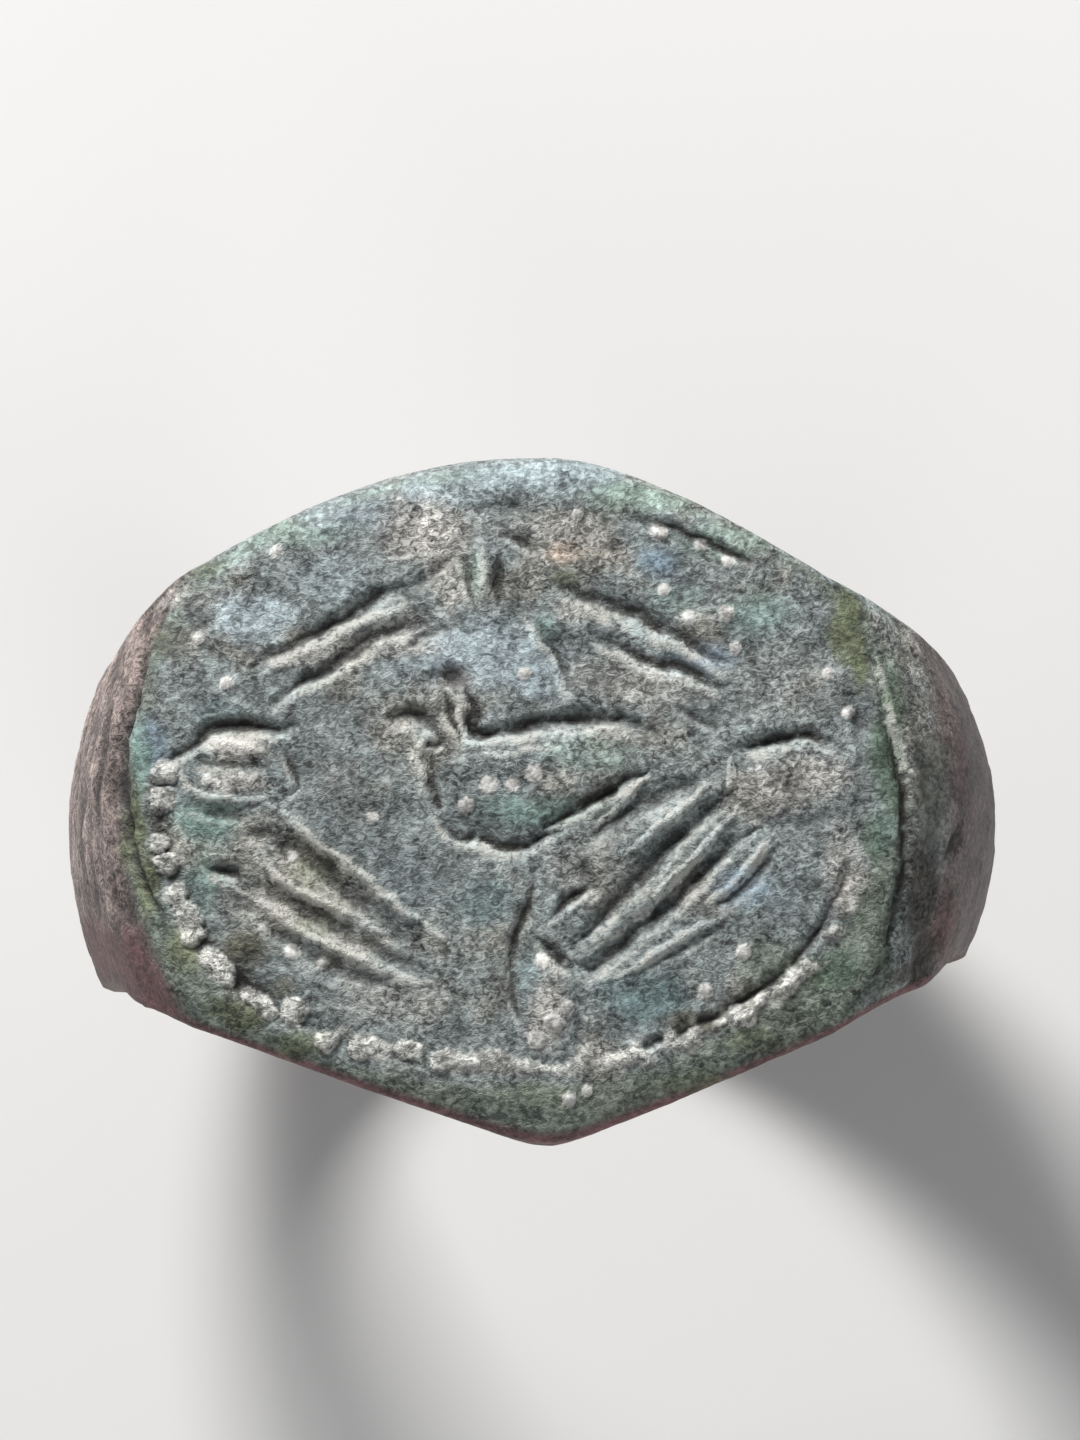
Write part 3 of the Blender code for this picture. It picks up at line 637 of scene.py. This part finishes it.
def pellet_rise(points):
    rise = np.zeros(len(points))
    for x, y, radius in PELLETS:
        away = np.hypot(points[:, 0] - x, points[:, 1] - y) / radius
        dimple = 0.5 * np.exp(-(away / 0.4) ** 2) * (radius > 0.2)
        dome = np.clip(1 - away ** 2, 0, 1) ** 0.7
        rise = np.maximum(rise, 0.5 * radius * (dome - dimple))
    return rise


pellets = pellet_rise(flat + 0.02 * ragged)
swells = swelling(drawn)
print("swell", swells.max().round(2), "pellet", pellets.max().round(2), "mm")

# %% [markdown]
# ## Wear and corrosion
#
# Corrosion lifts the skin in fine grains and eats small pits. These layers are small, a few hundredths
# of a millimetre on the face. Handling has worn the face lower towards its ends, and rolled its edge
# over by a quarter of a millimetre. The shoulders carry a thicker crust in streaks that run with the
# hoop, except where they were rubbed smooth.

# %% Relief of the whole skin
FACE_GRAIN, HOOP_GRAIN = 0.03, 0.012
FACE_UNEVEN, HOOP_UNEVEN = 0.05, 0.01
LUMP_DEPTH, PIT_DEPTH = 0.03, 0.05
CROWN_DROP, MOST_DROP = 0.26, 0.4
ROLL_DROP, ROLL_WIDTH = 0.26, 1.1
mm = base / MM
outer = zone == 0
side = np.sign(turn)
grain = layered_noise(mm, 0.3, 41, 2)
lumps = layered_noise(mm, 1.7, 51)
uneven = layered_noise(mm, 0.7, 55)
relief = np.where(outer, FACE_GRAIN, HOOP_GRAIN) * grain + LUMP_DEPTH * (lumps - 0.5)
relief += np.where(outer, FACE_UNEVEN, HOOP_UNEVEN) * uneven

pits = smooth_step(0.45, 0.8, layered_noise(flat, 0.8, 61, 2)) * (np.abs(flat[:, 0]) < 8)
relief[face] += swells + pellets + lip + beads - np.maximum(cut, groove) - PIT_DEPTH * pits

widths = np.array([[half_width(t, 0), half_width(t, 1)] for t in top_turns]) / MM
nearest = np.searchsorted(top_turns, turn).clip(0, len(top_turns) - 1)
to_edge = np.maximum(widths[nearest, (mm[:, 1] > 0).astype(int)] - np.abs(mm[:, 1]), 0)
crown = CROWN_DROP * ((mm[:, 0] / 9.4) ** 2 + (mm[:, 1] / 8.6) ** 2) ** 1.5
roll = ROLL_DROP * np.clip(1 - to_edge / ROLL_WIDTH, 0, 1) ** 2.2
worn_down = (np.minimum(crown, MOST_DROP) + roll) * smooth_step(20.9, 22.9, mm[:, 2])

ends = FACE_REACH[(turn > 0).astype(int)] / MM * (1 - FACE_BOW * (mm[:, 1] / 5.6) ** 2)
past = np.abs(mm[:, 0]) - ends
lower_left = -(mm[:, 1] + 2.4 + 0.68 * (mm[:, 0] + 11.5))
smooth_left = smooth_step(-0.3, 0.5, lower_left + 0.5 * uneven)
far_right = mm[:, 0] - 10.3 + 0.035 * (mm[:, 1] - 1) ** 2 * (mm[:, 1] < 1)
smooth_right = smooth_step(-0.3, 0.3, far_right + 0.4 * uneven)
smooth = np.where(side < 0, smooth_left, smooth_right)
shoulder_part = outer & (mm[:, 2] > 6)
streaks = layered_noise(mm * np.array([1, 0.3, 0.6]), 0.42, 81, 3)
crust = np.where(side < 0, 0.1, 0.06) * streaks * smooth_step(0.3, 1.0, past) * (1 - 0.85 * smooth)
relief += np.where(shoulder_part, crust, 0)
print("relief from", relief.min().round(2), "to", relief.max().round(2), "mm")

# %% [markdown]
# ## Keeping inside the solid
#
# The finer skin may not stand outside the solid's box. The relief is added along the skin's own
# normals, the worn face is let down, and the few points that would pass the box are held at it.

# %% Raise the relief
shaped = base + normal * relief[:, None] * MM
shaped[:, 2] -= worn_down * MM
shaped = np.clip(shaped, np.array(solid_low), np.array(solid_high))
resting = base[:, 2] < 0.01 * MM
shaped[resting, 2] = 0
skin.vertices.foreach_set("co", shaped.ravel())
skin.update()
skin.polygons.foreach_set("use_smooth", [True] * len(skin.polygons))
ring = bpy.data.objects.new("seal_ring_skin", skin)
bpy.context.scene.collection.objects.link(ring)
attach(ring, "root")
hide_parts("seal_ring")
print("skin spans", [round(v, 2) for v in (shaped.max(axis=0) - shaped.min(axis=0)) / MM], "mm")

# %% [markdown]
# ## A palette of tints
#
# The ground's colour isn't one green. It drifts between pale blue, teal, olive, beige and brown. Each
# tint is a colour and a share of grain, since the pale crust is rougher than the smooth brown metal.
# The patches say where a tint lies: a place and a reach across and along in millimetres, how strong it
# is, and its name.

# %% Palette
TINTS = {
    "STONE": ((0.185, 0.21, 0.205), 0.7),
    "SLATE": ((0.13, 0.155, 0.16), 0.6),
    "PALE_BLUE": ((0.32, 0.38, 0.4), 0.45),
    "PALE_GREEN": ((0.27, 0.36, 0.31), 0.4),
    "BLUE": ((0.15, 0.21, 0.26), 0.3),
    "TEAL": ((0.14, 0.205, 0.182), 0.45),
    "TEAL_BLUE": ((0.13, 0.19, 0.19), 0.45),
    "GREEN": ((0.085, 0.125, 0.085), 0.5),
    "DARK_GREEN": ((0.125, 0.15, 0.115), 0.6),
    "OLIVE": ((0.115, 0.13, 0.075), 0.5),
    "DARK_OLIVE": ((0.08, 0.075, 0.05), 0.5),
    "RUST": ((0.33, 0.23, 0.165), 1.0),
    "BEIGE": ((0.31, 0.295, 0.27), 1.0),
    "CRUST": ((0.185, 0.146, 0.133), 0.8),
    "PLUM": ((0.145, 0.072, 0.075), 0.2),
    "CREAM": ((0.54, 0.53, 0.5), 0.1),
    "LIME": ((0.5, 0.49, 0.45), 0.8),
    "WARM": ((0.225, 0.21, 0.18), 1.0),
    # A dark tint for painted shade on the far right shoulder.
    "DUSK": ((0.125, 0.1, 0.1), 0.3),
    "DARK_CRUST": ((0.06, 0.056, 0.048), 1.3),
    "SMOKE": ((0.15, 0.16, 0.135), 0.3),
    "EARTH": ((0.15, 0.115, 0.1), 0.5),
}
PATCHES = [
    (-1.67, 3.58, 2.2, 1.1, 0.9, "PALE_BLUE"), (-2.32, 2.96, 0.5, 0.35, 0.6, "EARTH"),
    (-0.22, 3.18, 0.8, 0.9, 0.8, "PALE_BLUE"), (-7.37, 4.66, 1.1, 0.8, 0.9, "PALE_BLUE"),
    (-5.29, 5.52, 1.2, 0.7, 0.45, "PALE_BLUE"), (-4.68, 7.13, 1.6, 0.5, 0.6, "PALE_BLUE"),
    (-0.04, 8.11, 2.4, 0.55, 0.9, "PALE_BLUE"), (-2.55, 7.69, 1.4, 0.4, 0.6, "PALE_BLUE"),
    (2.46, 7.56, 1.6, 0.4, 0.7, "PALE_GREEN"), (4.7, 6.4, 1.5, 0.45, 0.6, "PALE_GREEN"),
    (-6.75, 6.79, 2.4, 0.4, 0.5, "PALE_GREEN"), (2.89, 5.89, 0.7, 0.5, 0.7, "BLUE"),
    (3.96, 3.45, 1, 0.5, 0.6, "BLUE"), (5.37, 4.61, 1.1, 0.7, 0.6, "TEAL"),
    (3.32, 4.93, 0.8, 0.5, 0.5, "TEAL"), (0.62, 6.07, 0.6, 0.4, 0.5, "RUST"),
    (-9.38, 4.05, 0.7, 0.5, 0.6, "DARK_OLIVE"), (-9.11, 5.31, 1, 0.5, 0.5, "BEIGE"),
    (-8.47, 5.93, 0.6, 0.3, 0.6, "OLIVE"), (0.54, 5.44, 0.5, 0.2, 0.7, "OLIVE"),
    (7.58, 4.29, 0.4, 1.1, 0.8, "OLIVE"), (8, 3.4, 0.25, 0.7, 0.9, "OLIVE"),
    (7.22, -4.56, 0.7, 0.7, 0.7, "GREEN"), (7.96, -2.8, 0.5, 0.7, 0.4, "GREEN"),
    (-8.51, -0.5, 1, 0.8, 0.95, "TEAL"), (-8.62, -2.11, 0.6, 0.9, 0.7, "TEAL"),
    (-9.94, 1.52, 0.5, 0.9, 0.6, "BLUE"), (-10.22, 0.99, 0.32, 1.2, 0.9, "TEAL"),
    (-10.39, -0.55, 0.36, 1.3, 1, "OLIVE"), (-10, -2.09, 0.36, 0.9, 1, "OLIVE"),
    (-9.17, -3.64, 0.5, 0.7, 0.9, "OLIVE"), (-7.67, -5.35, 0.9, 0.4, 0.9, "OLIVE"),
    (-6.14, -6.06, 1, 0.4, 0.8, "OLIVE"), (-7.57, -3.74, 0.7, 0.7, 0.9, "DARK_OLIVE"),
    (-5.62, -1.53, 0.9, 0.4, 0.8, "DARK_OLIVE"), (-7.87, 1.8, 0.9, 0.25, 0.6, "DARK_OLIVE"),
    (-5.71, -2.76, 1.3, 0.25, 0.5, "DARK_OLIVE"), (-6.58, -4.67, 0.4, 0.3, 0.7, "DARK_OLIVE"),
    (-3.98, -5.09, 1.7, 0.7, 0.5, "BEIGE"), (-4.83, -0.31, 1.4, 1.3, 0.5, "SLATE"),
    (-3.78, -1.86, 0.9, 0.7, 0.6, "SLATE"), (-0.27, -0.36, 2, 0.5, 0.8, "TEAL"),
    (1.13, 1.09, 1.4, 0.5, 0.4, "PALE_GREEN"), (-1.53, -2.65, 0.9, 0.8, 0.7, "TEAL_BLUE"),
    (-2.91, -2.33, 1, 0.6, 0.5, "SLATE"), (-0.63, -4.12, 0.5, 1, 0.4, "TEAL_BLUE"),
    (2.55, -5.04, 1.5, 0.7, 0.8, "TEAL_BLUE"), (5.65, -4.19, 1, 0.9, 0.7, "DARK_GREEN"),
    (3.57, -5.71, 1, 0.3, 0.9, "DARK_OLIVE"), (4.87, -2.34, 0.8, 0.6, 0.7, "BLUE"),
    (5.97, -2.57, 0.8, 1, 0.5, "SLATE"), (1.95, -5.92, 0.9, 0.4, 0.4, "SLATE"),
    (3.69, -7.26, 1.6, 0.35, 0.6, "OLIVE"), (-0.2, -7.51, 1.4, 0.4, 0.4, "OLIVE"),
    (8.2, -1.12, 0.4, 0.6, 0.8, "GREEN"), (6.23, 2.83, 1.7, 1.2, 0.25, "BEIGE"),
    (6.27, 0.32, 1.5, 0.8, 0.9, "BEIGE"), (2.55, 2.58, 1.5, 0.5, 0.5, "BEIGE"),
    (-3, 6.75, 1.4, 0.8, 0.7, "BEIGE"), (-2.35, 5.56, 0.5, 1.2, 0.6, "BEIGE"),
    (0.77, 6.66, 0.9, 0.5, 0.5, "BEIGE"), (-5.47, 3.6, 1.9, 0.35, 0.7, "BEIGE"),
    (-3.85, 3.88, 1.6, 0.4, 0.6, "BEIGE"), (-7.71, 1.42, 1, 0.35, 0.8, "BEIGE"),
    (-7.73, 0.5, 1, 0.3, 0.9, "BEIGE"), (-0.03, -5.45, 0.6, 1.1, 0.9, "BEIGE"),
    (0.78, -1.76, 0.9, 0.9, 0.4, "BEIGE"), (7.45, -1.85, 0.6, 1.3, 0.6, "BEIGE"),
    (-8.06, 2.16, 1, 0.5, 0.5, "TEAL_BLUE"), (10.1, 1.81, 0.5, 1.5, 0.7, "CRUST"),
    (9.77, 0.22, 0.45, 1.6, 0.85, "SMOKE"), (8.85, 2.55, 0.45, 1.1, 0.75, "GREEN"),
    (8.5, 0.74, 0.42, 1.7, 0.85, "GREEN"), (8.39, -0.98, 0.35, 0.45, 0.6, "TEAL"),
    (7.61, 4.19, 0.5, 1.1, 0.85, "OLIVE"), (7.89, 3.21, 0.3, 0.7, 0.8, "OLIVE"),
    (9.5, -2.89, 0.6, 1.9, 1, "DARK_CRUST"), (9.24, -1.62, 0.3, 0.8, 0.8, "DARK_CRUST"),
    (9.11, -4.46, 0.9, 0.35, 0.9, "DARK_CRUST"), (10.2, -3.26, 0.5, 1, 0.8, "PLUM"),
    (10.73, 0.69, 0.4, 1.6, 0.4, "PLUM"), (7.14, -4.48, 0.8, 0.5, 0.6, "GREEN"),
    (8.27, -3.77, 0.5, 1.5, 0.8, "DARK_GREEN"), (6.75, -5.21, 1, 0.5, 0.7, "DARK_GREEN"),
    (5.11, -6.14, 1.2, 0.4, 0.6, "OLIVE"), (0.22, 3.94, 0.35, 0.9, 0.6, "SLATE"),
    (-1.56, 5.59, 0.25, 0.8, 0.5, "PALE_GREEN"), (-2.72, 6.74, 1.3, 1, 0.6, "BEIGE"),
    (-0.01, 6.76, 1.3, 0.5, 0.5, "BEIGE"), (1.43, 5.94, 0.9, 0.5, 0.6, "WARM"),
    (0.05, 4.34, 0.35, 0.45, 0.6, "TEAL"), (0.96, 4.61, 0.9, 0.35, 0.6, "BEIGE"),
    (1.74, 3.07, 1.6, 0.6, 0.5, "BEIGE"), (-3.65, 4.44, 1.2, 0.35, 0.5, "BEIGE"),
    (-6.21, -2.52, 2.2, 1.1, 0.7, "WARM"), (-5.65, -1.92, 0.9, 0.4, 0.5, "OLIVE"),
    (-5.97, -3.15, 0.9, 0.3, 0.5, "OLIVE"),
]
print(len(TINTS), "tints in", len(PATCHES), "patches")

# %% [markdown]
# ## Painting the tints
#
# A material can only know about wear if the mesh tells it, so the tints are painted on the points,
# one over another as a painter lays glazes: a warm drift over everything, brown crust and plum metal
# on the shoulders, with the far left of the left crust painted lighter as painted light and painted
# shade on the far right shoulder, earth brown on the hoop and in the hole, greens on the rim, pale at
# its top as a painted highlight and dark round the rest as painted shade, then the patches, the pale
# beads and pellets, and last painted shade and light that follow the fine relief.

# %% Paint the tints on the points
tint = np.tile(np.append(*TINTS["STONE"]), (len(base), 1))
wander = np.stack([layered_noise(mm, 0.9, 91), layered_noise(mm, 0.9, 95)], axis=1)


def lay(mask, name):
    """Blend one tint over the points, by a share for each point."""
    colour = np.append(*TINTS[name])
    tint[:] = tint + mask[:, None] * (colour - tint)


lay(0.7 * smooth_step(-0.1, 0.5, layered_noise(mm, 1.3, 97)), "WARM")
beyond = smooth_step(0.3, 0.7, past + 0.1 * uneven)
left_beyond = np.where(side < 0, beyond, 0)
lay(np.where(side < 0, beyond, 0.9 * beyond * smooth_step(1.2, 2.0, past)), "CRUST")
# The left crust is made darker next to the crease and lighter towards its far end; the lighter far end is
# painted light, where the light from the left falls on it.
tint[:, :3] *= 1 + (left_beyond * (0.55 * smooth_step(0.5, 1.6, past) - 0.3))[:, None]
streaked = 2 * beyond * (1 - smooth) * (0.55 * smooth_step(-0.5, 0.5, streaks) - 0.3)
tint[:, :3] *= 1 + streaked[:, None]
lay(left_beyond * smooth, "PLUM")
# Painted shade: the far right end of the shoulder, which faces away from the light, is darkened.
lay(np.where(side > 0, 0.9 * smooth_step(1.2, 2.6, past + 0.5 * uneven), 0), "DUSK")
below = FACE_Z / MM - mm[:, 2]
lay(smooth_step(7, 12, below) * (0.7 + 0.5 * lumps), "EARTH")
lay((zone == 2) * (0.8 + 0.4 * lumps), "EARTH")
lower_wall = (zone == 1) * (mm[:, 1] < 0) * smooth_step(0.25, 0.6, below)
lay(lower_wall, "EARTH")
lay(lower_wall * (1 - smooth_step(1.5, 6, below)), "PLUM")

# Painted light on the rim: pale green at its top, where the light falls on the rolled edge, as a painted
# highlight, and dark green round the rest as painted shade, over the rim's own green.
at_top = smooth_step(40, 70, angle) * (1 - smooth_step(130, 160, angle))
rim_highlight_and_shade = np.zeros((2, len(base)))
rim_highlight_and_shade[:, face] = smooth_step(0.3, 0.8, outward) * np.stack([at_top, 1 - at_top])
lay(0.5 * rim_highlight_and_shade[0] * (1 - beyond), "PALE_GREEN")
lay(0.7 * rim_highlight_and_shade[1] * (1 - beyond), "DARK_GREEN")
lay((mm[:, 1] < 0) * (mm[:, 2] > 20) * (1 - smooth_step(0.12, 0.34, to_edge)), "PLUM")
seen = (mm[:, 2] > 20) & (outer | (below < 0.5))
for x, y, reach_x, reach_y, share, name in PATCHES:
    offset = (mm[:, :2] + 0.3 * wander - np.array([x, y])) / np.array([reach_x, reach_y])
    away = np.linalg.norm(offset, axis=1)
    lay(share * (1 - smooth_step(0.35, 1.25, away)) * seen, name)

knobs = np.zeros(len(base))
knobs[face] = 0.7 * smooth_step(0.01, 0.06, beads)
lay(knobs, "LIME")
knobs[face] = smooth_step(0, 0.03, pellets)
lay(knobs, "CREAM")
# Painted shade and light that follow the fine relief: its high spots are painted lighter and its low spots
# darker.
rough = np.where(outer, 0.6 * uneven + 0.5 * grain, 0) * np.clip(tint[:, 3], 0.2, 1)
tint[:, :3] *= np.clip(1 + rough, 0.4, 1.8)[:, None]
print("tints from", tint[:, :3].min().round(3), "to", tint[:, :3].max().round(3))

# %% [markdown]
# ## Marks for the wear and the painted highlight
#
# Three more marks are numbers from 0 up. They say how much dirt a point holds, how pale it is from
# wear on its ridges and from the painted highlight below the cuts, and how grainy it is.

# %% Wear marks on the skin
def mark(name, values):
    layer = skin.attributes.new(name, "FLOAT", "POINT")
    layer.data.foreach_set("value", values.astype(np.float32))
    print(name, "mean", values.mean().round(3), "highest", values.max().round(2))


hollow = np.zeros(len(base))
hollow[face] = np.maximum(dirty, smooth_step(0.04, 0.15, groove - beads)) + 0.3 * pits
# Wear and painted highlight in one mark: ridges rubbed pale, and a painted highlight on the lit side below
# each cut.
pale_wear_and_highlight = np.zeros(len(base))
pale_wear_and_highlight[face] = 2 * smooth_step(0.015, 0.06, lip) + 1.6 * lower_wall_highlight * (1 - smooth_step(0.25, 0.65, inside))
mark("hollow", hollow)
mark("pale_wear_and_highlight", pale_wear_and_highlight)
mark("grainy", tint[:, 3])
layer = skin.attributes.new("tint", "FLOAT_COLOR", "POINT")
opaque = np.column_stack([tint[:, :3], np.ones(len(base))])
layer.data.foreach_set("color", opaque.ravel().astype(np.float32))
print("marks on the skin:", [layer.name for layer in skin.attributes if layer.domain == "POINT"])

# %% [markdown]
# ## Helpers for the patina
#
# The patina is a material of nodes. Small helpers make one node each and link it up: a mark read from
# the skin, noise with lumps of a set size, a sum, or a mix of two colours. They keep the recipe in the
# next cell short enough to read like a sentence.

# %% Helpers for the patina's nodes
patina = bpy.data.materials.new("patinated bronze")
patina.use_nodes = True
tree = patina.node_tree
shader = tree.nodes["Principled BSDF"]
place = tree.nodes.new("ShaderNodeTexCoord").outputs["Object"]


def marked(name, output="Fac"):
    node = tree.nodes.new("ShaderNodeAttribute")
    node.attribute_name = name
    return node.outputs[output]


def spots(lump_mm, detail=2.0, rough=0.5, stretch=(1, 1, 1), shift=0.0, swirl=0.0):
    """Noise whose lumps have this size on the ring."""
    mapping = tree.nodes.new("ShaderNodeMapping")
    mapping.inputs["Scale"].default_value = [s / MM for s in stretch]
    mapping.inputs["Location"].default_value = (shift, shift, shift)
    noise = tree.nodes.new("ShaderNodeTexNoise")
    noise.inputs["Scale"].default_value = 1 / lump_mm
    noise.inputs["Detail"].default_value = detail
    noise.inputs["Roughness"].default_value = rough
    noise.inputs["Distortion"].default_value = swirl
    tree.links.new(place, mapping.inputs["Vector"])
    tree.links.new(mapping.outputs["Vector"], noise.inputs["Vector"])
    return noise.outputs["Fac"]


def between(value, low, high):
    """0 where the value is at or under low, 1 at or over high, smooth in the middle."""
    node = tree.nodes.new("ShaderNodeMapRange")
    node.interpolation_type = "SMOOTHSTEP"
    node.inputs["From Min"].default_value = low
    node.inputs["From Max"].default_value = high
    tree.links.new(value, node.inputs["Value"])
    return node.outputs["Result"]


def maths(operation, a, b):
    node = tree.nodes.new("ShaderNodeMath")
    node.operation = operation
    for socket, value in zip(node.inputs, (a, b)):
        if isinstance(value, (int, float)):
            socket.default_value = value
        else:
            tree.links.new(value, socket)
    return node.outputs["Value"]


def times(a, b):
    return maths("MULTIPLY", a, b)


def scaled(colour, level):
    node = tree.nodes.new("ShaderNodeVectorMath")
    node.operation = "SCALE"
    tree.links.new(colour, node.inputs[0])
    if isinstance(level, (int, float)):
        node.inputs["Scale"].default_value = level
    else:
        tree.links.new(level, node.inputs["Scale"])
    return node.outputs["Vector"]


def blend(share, under, over):
    """The colour over laid on the colour under, by a share. Colours are sockets or plain numbers."""
    node = tree.nodes.new("ShaderNodeMix")
    node.data_type = "RGBA"
    tree.links.new(share, node.inputs["Factor"])
    for socket, colour in ((node.inputs[6], under), (node.inputs[7], over)):
        if isinstance(colour, tuple):
            socket.default_value = (*colour, 1)
        else:
            tree.links.new(colour, socket)
    return node.outputs[2]


print("the patina starts with", len(tree.nodes), "nodes")

# %% [markdown]
# ## Layers of the patina
#
# The colour is built up in the order that it grew on the metal. The painted mineral skin comes first.
# Fine swirling lumps and broad clouds make it lighter and darker. Then come brown-black dirt in the
# cuts and pale places on top, both broken up by noise: ridges rubbed pale by wear, and a painted
# highlight on the side below each cut. The same lumps also tilt the surface a little, as a bump,
# because single grains are finer than the skin's points.

# %% Layers of the patina
DIRT, PALE = (0.03, 0.028, 0.024), (0.56, 0.55, 0.5)
painted = marked("tint", "Color")
grainy = marked("grainy")
worms = between(spots(0.15, 3, 0.65, stretch=(0.9, 1.1, 1), swirl=0.6), 0.32, 0.7)
clouds = between(spots(0.8, 4, 0.65, shift=11.0), 0.32, 0.68)
depth = maths("ADD", grainy, 0.75)
speckle = times(maths("SUBTRACT", worms, 0.45), depth)
level = maths("ADD", speckle, maths("ADD", times(clouds, 0.7), 0.75))
colour = scaled(painted, level)
light = blend(clouds, scaled(painted, 2.4), PALE)
dirty_share = times(marked("hollow"), between(spots(0.3, 3, shift=5.5), 0.15, 0.55))
colour = blend(dirty_share, colour, DIRT)
# Pale colour from wear on the ridges and a painted highlight below the cuts.
wear_and_highlight_share = times(marked("pale_wear_and_highlight"), between(spots(0.16, 3, 0.6, shift=9.1), 0.3, 0.65))
colour = blend(wear_and_highlight_share, colour, light)
tree.links.new(colour, shader.inputs["Base Color"])
shader.inputs["Metallic"].default_value = 0.0
shader.inputs["Roughness"].default_value = 0.6
shader.inputs["Specular IOR Level"].default_value = 0.4

bump = tree.nodes.new("ShaderNodeBump")
bump.inputs["Strength"].default_value = 0.6
bump.inputs["Distance"].default_value = 0.06 * MM
height = times(worms, maths("ADD", grainy, 0.2))
tree.links.new(height, bump.inputs["Height"])
tree.links.new(bump.outputs["Normal"], shader.inputs["Normal"])
skin.materials.append(patina)
print(len(tree.nodes), "nodes in the patina")

# %% [markdown]
# ## Floor
#
# The ring stands on a plain pale floor. It is much larger than the ring, so that its edges lie far
# outside the picture.

# %% Floor
floor_mesh = bpy.data.meshes.new("floor")
half = 600 * MM
corners = [(-half, -half, 0), (half, -half, 0), (half, half, 0), (-half, half, 0)]
floor_mesh.from_pydata(corners, [], [(0, 1, 2, 3)])
floor = bpy.data.objects.new("floor", floor_mesh)
bpy.context.scene.collection.objects.link(floor)
paper = bpy.data.materials.new("pale paper")
paper.use_nodes = True
paper.node_tree.nodes["Principled BSDF"].inputs["Base Color"].default_value = (0.82, 0.81, 0.79, 1)
paper.node_tree.nodes["Principled BSDF"].inputs["Roughness"].default_value = 0.9
floor_mesh.materials.append(paper)
print("floor is at", floor_mesh.vertices[0].co.z)

# %% [markdown]
# ## Light
#
# One broad soft light comes from the seal's top, low enough to rake over the carving: upper walls of
# the cuts fall dark and lower walls catch it, as in the picture. A weak light from the other side and
# a grey sky fill the shadows.

# %% Lights
def soft_light(name, position_mm, size_mm, power):
    lamp = bpy.data.lights.new(name, "AREA")
    lamp.size = size_mm * MM
    lamp.energy = power
    holder = bpy.data.objects.new(name, lamp)
    holder.location = Vector(position_mm) * MM
    holder.rotation_euler = (Vector((0, 0, FACE_Z)) - holder.location).to_track_quat("-Z", "Y").to_euler()
    bpy.context.scene.collection.objects.link(holder)
    return holder


lights = [soft_light("top light", (-90, 225, 160), 80, 1.15),
          soft_light("fill light", (60, -230, 150), 200, 0.2)]
world = bpy.data.worlds.new("studio")
world.use_nodes = True
world.node_tree.nodes["Background"].inputs["Color"].default_value = (0.9, 0.93, 1.0, 1)
world.node_tree.nodes["Background"].inputs["Strength"].default_value = 0.17
bpy.context.scene.world = world
bpy.context.scene.view_settings.view_transform = "Standard"
print([lamp.name for lamp in lights], "and a grey sky")
